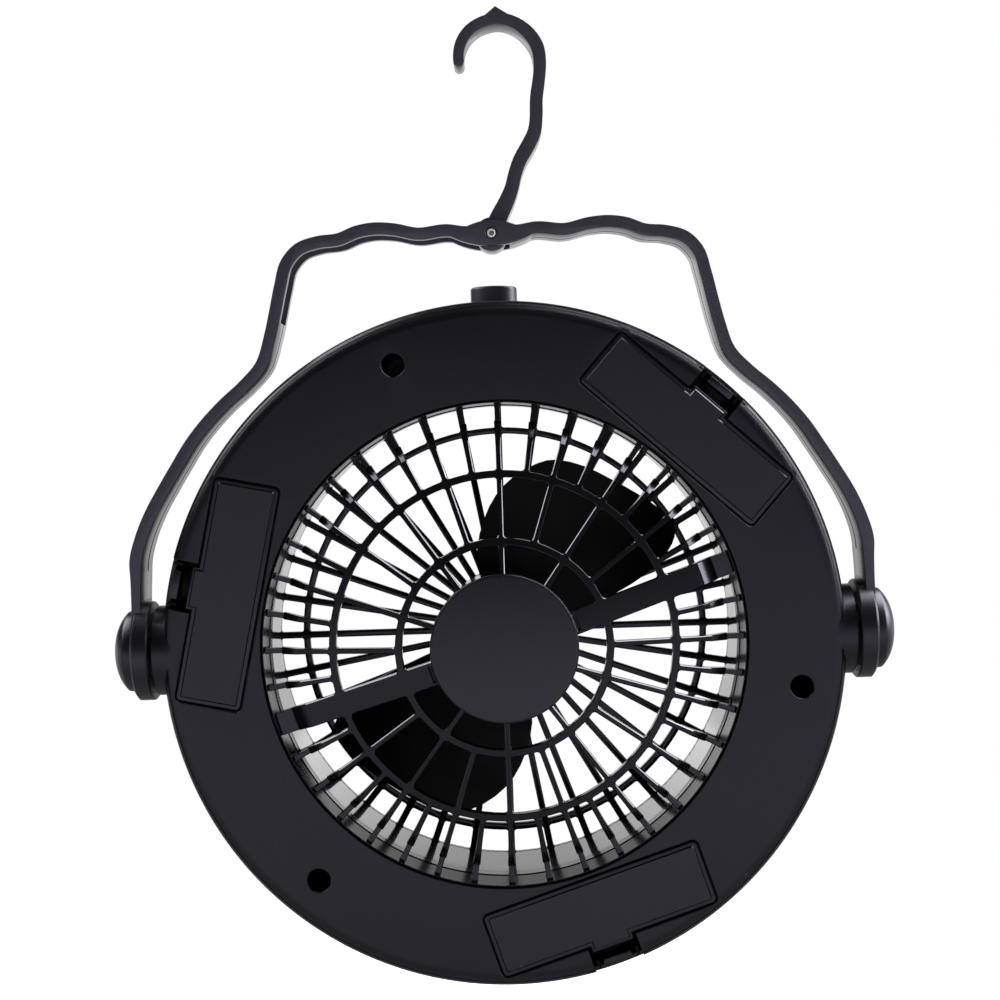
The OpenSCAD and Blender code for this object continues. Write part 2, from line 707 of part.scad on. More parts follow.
module lamps_leds() color(clear) stand() at_lamps() {
    translate([-1.6, -1.6, board_z - 0.8]) cube([3.2, 3.2, 0.8]);
    translate([0, 0, board_z - 2.2]) cylinder(h = 1.5, r = 1.3, $fn = 24);
}

// A door: plate, two hinge tabs on its inner edge, U-shaped latch on its outer edge
module door(angle) color(black) stand() rotate([0, 0, angle]) {
    edge_x = door_mid + door_w / 2;
    leg_out = edge_x + tongue;
    outer_x = case_r - latch_out;
    thumb_z = case_t - thumb_down;
    low = case_t - latch_drop;
    half = latch_w / 2;
    tongue_half = recess_w / 2 - 1;
    intersection() {
        rear_envelope();
        union() {
            translate([0, 0, door_z]) linear_extrude(door_t + cut) door_plan(0);
            block(edge_x - 3, leg_out, -tongue_half, tongue_half, door_z, case_t);
            block(outer_x - latch_outer_leg, case_r - thumb_out, -half, half, thumb_z - thumb_t,
                thumb_z);
            block(outer_x - latch_outer_leg, outer_x, -half, half, low, thumb_z - 1);
        }
    }
    block(leg_out - latch_leg, leg_out, -half, half, low, door_z + 0.2);
    block(leg_out - latch_leg, outer_x, -half, half, low, low + latch_leg);
    for (s = [-1, 1]) {
        y0 = s * tab_at - tab_w / 2;
        block(door_x + 0.3, door_x + 2.4, y0, y0 + tab_w, door_z - tab_t - 0.3, door_z + 0.2);
        block(door_x - tab_reach, door_x + 2.4, y0, y0 + tab_w, door_z - tab_t - 0.3, door_z - 0.3);
    }
}

module battery_door_1() door(door_angles[0]);
module battery_door_2() door(door_angles[1]);
module battery_door_3() door(door_angles[2]);

module battery_cells() color(cell_grey) stand() at_doors()
    translate([door_mid, bay_l / 2 - contact_t - seat, cell_z]) rotate([90, 0, 0]) revolve()
        polygon([[0, 0], [2.7, 0], [2.7, 1.2], [cell_d / 2 - 0.8, 1.2], [cell_d / 2, 2],
            [cell_d / 2, cell_l - 0.8], [cell_d / 2 - 0.6, cell_l], [0, cell_l]]);

// A conical coil, swept as rings of a small round wire
module battery_springs() color(steel) stand() at_doors()
    translate([door_mid, -bay_l / 2 + contact_t + spring_wire / 2, cell_z]) rotate([-90, 0, 0])
        coil(spring_turns, spring_base_r, spring_tip_r, spring_l - spring_wire - seat);

module coil(turns, r0, r1, h) {
    sides = 6;
    rings = 42;
    points = [for (i = [0 : rings], j = [0 : sides - 1])
        let (t = i / rings, a = 360 * turns * t, b = 360 * j / sides,
            r = r0 + (r1 - r0) * t + spring_wire / 2 * cos(b))
        [r * cos(a), r * sin(a), h * t + spring_wire / 2 * sin(b)]];
    walls = [for (i = [0 : rings - 1], j = [0 : sides - 1]) let (k = (j + 1) % sides)
        [i * sides + j, i * sides + k, (i + 1) * sides + k, (i + 1) * sides + j]];
    polyhedron(points, concat([[for (j = [0 : sides - 1]) j]], [for (q = walls) reversed(q)],
        [[for (j = [sides - 1 : -1 : 0]) rings * sides + j]]));
}

module battery_contacts() color(steel) stand() at_doors() for (s = [-1, 1])
    block(door_mid - contact_w / 2, door_mid + contact_w / 2, s > 0 ? bay_l / 2 - contact_t : -bay_l / 2,
        s > 0 ? bay_l / 2 : -bay_l / 2 + contact_t, cell_z - contact_h / 2, cell_z + contact_h / 2);

module push_button() color(gloss_black) stand() translate([0, button_in_y, button_z])
    rotate([-90, 0, 0]) difference() {
        h = case_r + button_out - button_in_y;
        revolve() polygon([[0, 0], [button_flange_r, 0], [button_flange_r, button_flange_t],
            [button_r, button_flange_t],
            [button_r, h - 0.9], [button_r - 0.3, h - 0.3], [button_r - 0.9, h], [0, h]]);
        translate([-stem_w / 2, -stem_w / 2, -cut]) cube([stem_w, stem_w, stem_in + cut]);
    }

module switch_stem() color(steel) stand() {
    half = stem_w / 2 - seat;
    block(-half, half, switch_top_y - stem_down, button_in_y + stem_in - seat, button_z - half,
        button_z + half);
}

module switch_body() color(deep_black) stand() difference() {
    block(-switch_w / 2, switch_w / 2, switch_top_y - switch_l, switch_top_y,
        button_z - switch_w / 2, button_z + switch_w / 2);
    block(-stem_w / 2 - free, stem_w / 2 + free, switch_top_y - stem_down - button_travel - free,
        switch_top_y + cut, button_z - stem_w / 2 - free, button_z + stem_w / 2 + free);
}

module case_screws() color(steel) stand() at_screws() difference() {
    union() {
        translate([0, 0, counterbore_z + seat]) cylinder(h = screw_head_h, r = screw_head_d / 2,
            $fn = 32);
        translate([0, 0, trough_top + 0.6]) cylinder(h = counterbore_z - trough_top,
            r = screw_d / 2, $fn = 32);
    }
    translate([0, 0, counterbore_z + 0.9]) for (a = [0, 90]) rotate([0, 0, a])
        translate([-1.7, -0.35, 0]) cube([3.4, 0.7, 3]);
}

module pivot_screws() color(steel) stand() both_sides() {
    pivot_bar(boss_in_x + screw_end, head_recess_x + head_t / 2, pivot_r);
    pivot_bar(head_recess_x + seat, head_recess_x + head_t, head_r);
}

module friction_washers() color(deep_black) stand() both_sides() difference() {
    pivot_bar(boss_x, boss_x + washer_t, boss_d / 2 - 2);
    pivot_bar(boss_x - cut, boss_x + cut + washer_t, pivot_r + 0.2);
}

// Plan of the bail: the two mirrored halves of its band and the boss for the hook pin
module bail_plan() {
    half = curve([for (q = bail_half) [q[0], q[1], band_t]], 3);
    left = [for (q = reversed(half)) [-q[0], q[1], band_t]];
    line = concat([for (i = [0 : len(left) - 2]) left[i]], half);
    polygon(concat(side(line, 1), reversed(side(line, -1))));
    top_r = 16.1;
    low_r = 24;
    intersection() {
        translate([0, pin_h + pin_boss_h / 2 - top_r]) circle(top_r, $fn = 96);
        translate([0, pin_h - pin_boss_h / 2 + low_r]) circle(low_r, $fn = 128);
    }
}

module bail() color(black) stand() difference() {
    union() {
        translate([0, 0, pivot_z - band_w / 2]) linear_extrude(band_w) bail_plan();
        both_sides() {
            pivot_bar(disc_x, disc_face_x - 1, disc_d / 2);
            translate([disc_face_x - 1, 0, pivot_z]) rotate([0, 90, 0]) cylinder(h = 1,
                r1 = disc_d / 2, r2 = disc_d / 2 - 1.6, $fn = 64);
        }
    }
    // slot for the folded hook
    translate([-case_r, pin_h - slot_drop, pivot_z - slot_w / 2])
        cube([case_r + eye_d / 2 + free, slot_drop + band_w, slot_w]);
    both_sides() {
        pivot_bar(disc_x - cut, disc_face_x, pivot_r + fit);
        pivot_bar(head_recess_x, disc_face_x + cut, head_r + 0.4);
    }
    // hook pin
    translate([0, pin_h, pivot_z - band_w]) cylinder(h = 2 * band_w, r = pin_d / 2 + fit, $fn = 32);
    for (s = [-1, 1]) translate([0, pin_h, pivot_z + s * (band_w / 2 + 0.2) - 1])
        cylinder(h = 2, r = pin_d / 2 + 0.35, $fn = 32);
}

// A domed cap over each pivot screw, held by a ring in the disc
module pivot_cap() translate([disc_face_x, 0, pivot_z]) rotate([0, 90, 0]) {
    revolve() difference() {
        polygon([[0, 0], [cap_d / 2, 0], [cap_d / 2, cap_h * 0.35], [cap_d / 2 - 0.5, cap_h * 0.48],
            [cap_d / 2 - 2.4, cap_h * 0.72], [cap_d / 2 - 6, cap_h * 0.92], [0, cap_h]]);
        translate([0, -cut]) square([head_r - 0.6, cap_h - cap_wall]);
    }
    translate([0, 0, -1.2]) difference() {
        cylinder(h = 1.3, r = head_r + 0.35, $fn = 64);
        translate([0, 0, -cut]) cylinder(h = 4, r = head_r - 0.6, $fn = 64);
    }
}

module pivot_cap_right() color(black) stand() pivot_cap();
module pivot_cap_left() color(black) stand() mirror([1, 0, 0]) pivot_cap();

module hook_pin() color(steel) stand() translate([0, pin_h, pivot_z - band_w / 2 + 0.3])
    difference() {
        cylinder(h = band_w - 0.6, r = pin_d / 2, $fn = 32);
        translate([0, 0, band_w - 0.6 - 0.8]) cylinder(h = 2, r = 0.6, $fn = 6);
    }

module hook_piece() translate([0, 0, pivot_z - hook_w / 2]) linear_extrude(hook_w) children();

module hook() color(black) stand() difference() {
    tip = hook_line[len(hook_line) - 1];
    union() {
        hook_piece() strip(hook_line, 3);
        hook_piece() translate([0, pin_h]) circle(eye_d / 2, $fn = 48);
        hook_piece() translate([tip[0], tip[1]]) circle(tip[2] / 2 - 0.01, $fn = 32);
        hook_piece() polygon([[3, hang_y + 5.8], [-0.9, hang_y + 2.6], [3, hang_y + 1.5],
            [12, hang_y - 2], [14, hang_y - 1.4]]);
    }
    translate([0, pin_h, 0]) cylinder(h = case_t, r = pin_d / 2 + 2 * fit, $fn = 32);
}

rear_case();
front_case();
rear_grille();
front_grille();
motor_cover();
motor_can();
motor_end_cap();
motor_terminals();
motor_shaft();
motor_screws();
fan_rotor();
light_lens();
light_reflector();
lamp_board();
lamps_leds();
battery_door_1();
battery_door_2();
battery_door_3();
battery_cells();
battery_springs();
battery_contacts();
push_button();
switch_body();
switch_stem();
case_screws();
pivot_screws();
friction_washers();
bail();
pivot_cap_left();
pivot_cap_right();
hook_pin();
hook();
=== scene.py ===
"""Looks of a round camping fan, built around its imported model.

The fan hangs by its hook. Its rear grille faces -Y, its light faces +Y, and the
origin is the seat of the hook. Shapes are worked out lying on the front rim, in
millimetres, with the fan axis on z, the rear face up and the bail towards +y, and
each finished piece is then stood up into its place.
"""

import logging
import math
from collections.abc import Callable, Sequence
from dataclasses import dataclass
from enum import Enum

import bpy
from mathutils import Matrix, Vector


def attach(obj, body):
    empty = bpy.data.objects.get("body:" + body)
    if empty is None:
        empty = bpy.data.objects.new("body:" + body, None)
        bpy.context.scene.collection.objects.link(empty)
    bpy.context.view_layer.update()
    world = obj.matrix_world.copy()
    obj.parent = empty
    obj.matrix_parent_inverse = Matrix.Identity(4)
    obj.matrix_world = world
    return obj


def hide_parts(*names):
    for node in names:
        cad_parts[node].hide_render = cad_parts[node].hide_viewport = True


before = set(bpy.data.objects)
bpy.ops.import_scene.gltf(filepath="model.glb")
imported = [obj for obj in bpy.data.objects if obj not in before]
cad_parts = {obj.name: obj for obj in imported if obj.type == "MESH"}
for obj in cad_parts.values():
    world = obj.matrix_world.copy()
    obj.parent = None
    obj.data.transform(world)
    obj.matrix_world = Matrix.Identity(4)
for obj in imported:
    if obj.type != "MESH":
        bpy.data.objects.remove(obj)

log = logging.getLogger("camping_fan")

# One millimetre, and the distance in metres under which points count as one.
MM = 0.001
MERGE = 1e-6
# Angle in degrees under which neighbouring faces count as one plane.
COPLANAR = 0.6
# Colour of the dust's specks, and how far apart they lie in millimetres.
SPECK = (0.16, 0.16, 0.17, 1.0)
SPECK_GAP = 9.0
# Relief, weight against the grain and stretch of a moulding's flow lines.
FLOW_RELIEF = 0.07
FLOW_WEIGHT = 2.5
FLOW_LENGTH = (0.02, 1.0, 0.02)
WHITE_LIGHT = (1.0, 1.0, 1.0, 1.0)
# Foot and height of the solids that the grilles' openings are cut with.
CELL_FOOT = 34.0
CELL_TALL = 24.0

Point = tuple[float, float, float]
Flat = tuple[float, float]
Piece = bpy.types.Object
Nodes = bpy.types.Nodes
Links = bpy.types.NodeLinks
Node = bpy.types.Node
Socket = bpy.types.NodeSocket


class Light(Enum):
    """The lamps of the studio, each with its place, its aim, its size and its power."""

    CORNER = ((-0.8, 0.2, 0.65), (0.0, 0.0, -0.12), 0.8, 11.0)
    RIGHT = ((1.05, 0.2, 0.28), (0.0, 0.0, -0.16), 0.8, 15.0)
    TOP = ((0.55, 0.2, 0.8), (0.0, 0.0, -0.12), 0.9, 18.0)


class Join(Enum):
    """Ways in which one solid acts on another."""

    ADD = "UNION"
    CUT = "DIFFERENCE"


def ranged(nodes: Nodes, links: Links, source: Socket, span: Flat, result: Flat,
           eased: bool = False) -> Socket:
    """Maps one span of a value onto another.

    Args:
        nodes: The tree's nodes.
        links: The tree's links.
        source: The value.
        span: Its first and last value.
        result: What those two become.
        eased: Whether both ends run in softly.

    Returns:
        The mapped value.
    """
    node = nodes.new("ShaderNodeMapRange")
    if eased:
        node.interpolation_type = "SMOOTHSTEP"
    for name, value in zip(("From Min", "From Max", "To Min", "To Max"), span + result):
        node.inputs[name].default_value = value
    links.new(source, node.inputs["Value"])
    return node.outputs["Result"]


def combined(nodes: Nodes, links: Links, operation: str, first: Socket,
             second: Socket) -> Socket:
    """Returns the result of a math operation on two values."""
    node = nodes.new("ShaderNodeMath")
    node.operation = operation
    links.new(first, node.inputs[0])
    links.new(second, node.inputs[1])
    return node.outputs[0]


def blended(nodes: Nodes, links: Links, share: Socket, low: Socket | float,
            high: Socket) -> Socket:
    """Blends two values.

    Args:
        nodes: The tree's nodes.
        links: The tree's links.
        share: How much of the second one comes through.
        low: The first value.
        high: The second value.

    Returns:
        The blended value.
    """
    node = nodes.new("ShaderNodeMix")
    links.new(share, node.inputs["Factor"])
    if isinstance(low, float):
        node.inputs["A"].default_value = low
    else:
        links.new(low, node.inputs["A"])
    links.new(high, node.inputs["B"])
    return node.outputs["Result"]


@dataclass(frozen=True)
class Finish:
    """A moulded or metal surface with its grain, its tint and its gloss.

    Attributes:
        name: The material's name.
        colour: The base colour, linear.
        roughness: The mean roughness.
        specular: The specular level of the shader.
        metallic: 1 for bare metal.
        grain: Size of the surface's texture in millimetres.
        relief: Strength of that texture.
        drift: How far the colour drifts over the piece, as a share.
        sheen_patch: Size of the patches in which the gloss varies, in millimetres.
        alpha: 1 where nothing shows through.
        dust: Share of the surface under fine pale specks.
        soft_edge: Radius that the light finds on every edge, in millimetres.
        streak: Width of the flow lines along the mould's parting plane, in millimetres.
        coat: Weight of a clear coat.
        tint: Tint of what it mirrors head-on.
    """

    name: str
    colour: tuple[float, float, float]
    roughness: float
    specular: float = 0.5
    metallic: float = 0.0
    grain: float = 0.35
    relief: float = 0.08
    drift: float = 0.15
    sheen_patch: float = 18.0
    alpha: float = 1.0
    dust: float = 0.0
    soft_edge: float = 0.0
    streak: float = 0.0
    coat: float = 0.0
    tint: tuple[float, float, float] = (1.0, 1.0, 1.0)

    def material(self) -> bpy.types.Material:
        """Makes the material, or returns the one already made.

        Returns:
            The node material of this finish.
        """
        made = bpy.data.materials.get(self.name)
        if made:
            return made
        mat = bpy.data.materials.new(self.name)
        mat.use_nodes = True
        nodes, links = mat.node_tree.nodes, mat.node_tree.links
        shader = nodes["Principled BSDF"]
        shader.inputs["Metallic"].default_value = self.metallic
        shader.inputs["Specular IOR Level"].default_value = self.specular
        shader.inputs["Specular Tint"].default_value = (*self.tint, 1.0)
        shader.inputs["Alpha"].default_value = self.alpha
        shader.inputs["Coat Weight"].default_value = self.coat
        shader.inputs["Coat Roughness"].default_value = self.roughness * 0.6
        place = nodes.new("ShaderNodeTexCoord")
        patches = self._noise(nodes, self.sheen_patch, 3.0)
        links.new(place.outputs["Object"], patches.inputs["Vector"])
        tint = nodes.new("ShaderNodeMix")
        tint.data_type = "RGBA"
        dark = [c * (1.0 - self.drift) for c in self.colour]
        pale = [min(1.0, c * (1.0 + self.drift)) for c in self.colour]
        tint.inputs["A"].default_value = (*dark, 1.0)
        tint.inputs["B"].default_value = (*pale, 1.0)
        links.new(patches.outputs["Fac"], tint.inputs["Factor"])
        shade = tint.outputs["Result"]
        if self.dust:
            shade = self._dusted(nodes, links, place, shade)
        links.new(shade, shader.inputs["Base Color"])
        gloss = ranged(nodes, links, patches.outputs["Fac"], (0.0, 1.0),
                       (max(0.02, self.roughness * 0.85), min(1.0, self.roughness * 1.15)))
        links.new(gloss, shader.inputs["Roughness"])
        grain = self._noise(nodes, self.grain, 2.0)
        links.new(place.outputs["Object"], grain.inputs["Vector"])
        bump = nodes.new("ShaderNodeBump")
        bump.inputs["Strength"].default_value = self.relief
        bump.inputs["Distance"].default_value = self.grain * MM
        links.new(grain.outputs["Fac"], bump.inputs["Height"])
        if self.streak:
            self._streaked(nodes, links, place, bump)
        if self.soft_edge:
            edge = nodes.new("ShaderNodeBevel")
            edge.samples = 4
            edge.inputs["Radius"].default_value = self.soft_edge * MM
            links.new(edge.outputs["Normal"], bump.inputs["Normal"])
        links.new(bump.outputs["Normal"], shader.inputs["Normal"])
        return mat

    def _streaked(self, nodes: Nodes, links: Links, place: Node, bump: Node) -> None:
        """Gives the relief fine flow lines that run round the part at one depth.

        Args:
            nodes: The material's nodes.
            links: The material's links.
            place: The texture coordinate node.
            bump: The bump node of the grain.
        """
        squeeze = nodes.new("ShaderNodeMapping")
        squeeze.inputs["Scale"].default_value = FLOW_LENGTH
        links.new(place.outputs["Object"], squeeze.inputs["Vector"])
        lines = self._noise(nodes, self.streak, 3.0)
        links.new(squeeze.outputs["Vector"], lines.inputs["Vector"])
        both = nodes.new("ShaderNodeMath")
        both.operation = "MULTIPLY_ADD"
        links.new(lines.outputs["Fac"], both.inputs[0])
        both.inputs[1].default_value = FLOW_WEIGHT
        links.new(bump.inputs["Height"].links[0].from_socket, both.inputs[2])
        links.new(both.outputs[0], bump.inputs["Height"])
        bump.inputs["Strength"].default_value = FLOW_RELIEF

    @staticmethod
    def _noise(nodes: Nodes, size: float, detail: float) -> Node:
        """Returns a noise texture whose blotches are size millimetres wide."""
        noise = nodes.new("ShaderNodeTexNoise")
        noise.inputs["Scale"].default_value = 1.0 / (size * MM)
        noise.inputs["Detail"].default_value = detail
        return noise

    def _dusted(self, nodes: Nodes, links: Links, place: Node, shade: Socket) -> Socket:
        """Lays fine pale specks over a colour.

        Args:
            nodes: The material's nodes.
            links: The material's links.
            place: The texture coordinate node.
            shade: The colour's socket.

        Returns:
            The socket of the dusted colour.
        """
        specks = nodes.new("ShaderNodeTexVoronoi")
        specks.inputs["Scale"].default_value = 1.0 / (SPECK_GAP * MM)
        links.new(place.outputs["Object"], specks.inputs["Vector"])
        near = ranged(nodes, links, specks.outputs["Distance"],
                      (0.022 * self.dust, 0.012 * self.dust), (0.0, 1.0))
        mix = nodes.new("ShaderNodeMix")
        mix.data_type = "RGBA"
        mix.inputs["B"].default_value = SPECK
        links.new(near, mix.inputs["Factor"])
        links.new(shade, mix.inputs["A"])
        return mix.outputs["Result"]


COOL = (0.83, 0.8, 1.0)
MATTE = Finish("matte_black_moulding", (0.0044, 0.004, 0.0062), 0.3, specular=0.6, grain=0.22,
               relief=0.2, dust=1.0, soft_edge=0.2, tint=COOL)
# A slightly paler copy of the matte black, for the doors, the motor cover, the bail's discs and
# the pivot caps.
PALE_MATTE = Finish("fine_black_moulding", (0.0056, 0.0052, 0.0078), 0.3, specular=0.7, grain=0.22,
              relief=0.2, dust=1.0, soft_edge=0.2, tint=COOL)
# A paler black for the bail, hook and push button: painted light, where these parts catch more
# light than the case.
LIT_BLACK = Finish("painted_light_black_moulding", (0.031, 0.0285, 0.039), 0.34, specular=0.7, grain=0.25,
              relief=0.2, dust=1.0, soft_edge=0.1, tint=COOL)
SATIN = Finish("satin_black_moulding", (0.003, 0.0028, 0.0042), 0.32, specular=0.48, relief=0.05,
               soft_edge=0.2, tint=COOL)
GLOSS = Finish("gloss_black_moulding", (0.0035, 0.0033, 0.0042), 0.16, specular=0.6, relief=0.0,
               tint=COOL)
EDGE = Finish("polished_black_moulding", (0.0035, 0.0033, 0.0042), 0.15, specular=1.0, relief=0.0,
              coat=0.7, tint=COOL)
DUCT = Finish("coated_black_moulding", (0.0045, 0.0044, 0.005), 0.15, specular=0.6, relief=0.0,
              coat=0.8, tint=COOL)
FLOW = Finish("streaked_black_moulding", (0.0035, 0.0033, 0.0042), 0.15, specular=0.6, relief=0.02,
              streak=3.5, tint=COOL)
# A paler black on the grille ring's inner wall: painted sheen, standing in for its grazing
# reflection.
PAINTED_SHEEN = Finish("painted_sheen_black_moulding", (0.02, 0.019, 0.022), 0.15, specular=0.3, relief=0.0,
               tint=COOL)
# A darker black for the rotor deep in the duct and for the rooms below the rear face: painted
# shade.
SHADE_BLACK = Finish("painted_shade_black_moulding", (0.0018, 0.0018, 0.002), 0.4, specular=0.15, relief=0.02)
# A near-white, barely metallic zinc for the hook's pin: its pale colour partly the zinc's own and
# partly a painted highlight for the bright ring at its end.
ZINC_GLINT = Finish("zinc_with_painted_highlight", (0.9, 0.91, 0.94), 0.25, specular=1.0, metallic=0.1, relief=0.01)
STEEL = Finish("plated_steel", (0.55, 0.56, 0.58), 0.28, metallic=1.0, grain=0.6, relief=0.03)
# A near-black steel for the case screws: painted shade for the deep counterbores they sit in.
SHADED_STEEL = Finish("steel_in_painted_shade", (0.03, 0.03, 0.032), 0.4, metallic=1.0, grain=0.5,
                     relief=0.05)
BRASS = Finish("tinned_brass", (0.72, 0.62, 0.38), 0.32, metallic=1.0)
RUBBER = Finish("black_rubber", (0.02, 0.02, 0.02), 0.8, relief=0.15)
LENS = Finish("frosted_lens", (0.86, 0.88, 0.9), 0.35, relief=0.1, drift=0.03, alpha=0.6)
WHITE = Finish("white_moulding", (0.8, 0.8, 0.8), 0.35, drift=0.04)
BOARD = Finish("green_lacquer_board", (0.02, 0.16, 0.07), 0.35)
LAMP = Finish("phosphor_lamp", (0.9, 0.75, 0.25), 0.3, drift=0.06)
SLEEVE = Finish("cell_sleeve", (0.16, 0.17, 0.19), 0.35)

NODE_FINISH = {
    "rear_case": MATTE,
    "front_case": DUCT,
    "rear_grille": MATTE,
    "front_grille": GLOSS,
    "motor_cover": MATTE,
    "motor_can": STEEL,
    "motor_end_cap": RUBBER,
    "motor_terminals": BRASS,
    "motor_shaft": STEEL,
    "motor_screws": STEEL,
    "fan_rotor": SHADE_BLACK,
    "light_lens": LENS,
    "light_reflector": WHITE,
    "lamp_board": BOARD,
    "lamps_leds": LAMP,
    "battery_door_1": MATTE,
    "battery_door_2": MATTE,
    "battery_door_3": MATTE,
    "battery_cells": SLEEVE,
    "battery_springs": STEEL,
    "battery_contacts": STEEL,
    "push_button": SATIN,
    "switch_body": RUBBER,
    "switch_stem": RUBBER,
    "case_screws": SHADED_STEEL,
    "pivot_screws": STEEL,
    "friction_washers": RUBBER,
    "bail": SATIN,
    "pivot_cap_left": MATTE,
    "pivot_cap_right": MATTE,
    "hook_pin": STEEL,
    "hook": SATIN,
}


def dress_nodes() -> None:
    """Gives each carried-over node its finish."""
    for node, finish in NODE_FINISH.items():
        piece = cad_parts[node]
        piece.data.materials.clear()
        piece.data.materials.append(finish.material())
        log.info("dressed %s in %s", node, finish.name)


def around(centre: Flat, radius: float, start: float, end: float, steps: int) -> list[Flat]:
    """Lists points on an arc.

    Args:
        centre: The arc's centre.
        radius: Its radius.
        start: Its first angle in degrees.
        end: Its last angle in degrees.
        steps: The number of stretches between points.

    Returns:
        The points, first and last included.
    """
    out = []
    for i in range(steps + 1):
        angle = math.radians(start + (end - start) * i / steps)
        out.append((centre[0] + radius * math.cos(angle), centre[1] + radius * math.sin(angle)))
    return out


def smooth(points: Sequence[Sequence[float]], steps: int) -> list[tuple[float, ...]]:
    """Threads a smooth curve through points of any number of values.

    Args:
        points: The points to go through.
        steps: The number of stretches from one point to the next.

    Returns:
        The points of the curve.
    """
    spans = [math.dist(a[:2], b[:2]) for a, b in zip(points, points[1:])]
    rates = [[(d - c) / span for c, d in zip(a, b)]
             for a, b, span in zip(points, points[1:], spans)]
    slopes = [rates[0]]
    for i in range(1, len(spans)):
        near, far = spans[i - 1], spans[i]
        slopes.append([(p * far + q * near) / (near + far)
                       for p, q in zip(rates[i - 1], rates[i])])
    slopes.append(rates[-1])
    out = []
    for i, span in enumerate(spans):
        for j in range(steps):
            t = j / steps
            out.append(tuple(
                a * (1 + 2 * t) * (1 - t) ** 2 + b * t * t * (3 - 2 * t)
                + span * (m * t * (1 - t) ** 2 + n * t * t * (t - 1))
                for a, b, m, n in zip(points[i], points[i + 1], slopes[i], slopes[i + 1])))
    return out + [tuple(points[-1])]


def strip(line: Sequence[tuple[float, ...]]) -> list[Flat]:
    """Gives a line of across, along and thickness its two sides.

    Args:
        line: The middle line, with the thickness as its third value.

    Returns:
        The closed outline of the strip.
    """
    sides: tuple[list[Flat], list[Flat]] = ([], [])
    for i, (x, y, thick) in enumerate(line):
        a, b = line[max(i - 1, 0)], line[min(i + 1, len(line) - 1)]
        along = Vector((b[0] - a[0], b[1] - a[1])).normalized()
        out = Vector((-along.y, along.x)) * thick / 2
        sides[0].append((x + out.x, y + out.y))
        sides[1].append((x - out.x, y - out.y))
    return sides[0] + sides[1][::-1]


def raised(outline: Sequence[Flat], height: float) -> list[Point]:
    """Returns a flat outline's points at a height."""
    return [(x, y, height) for x, y in outline]


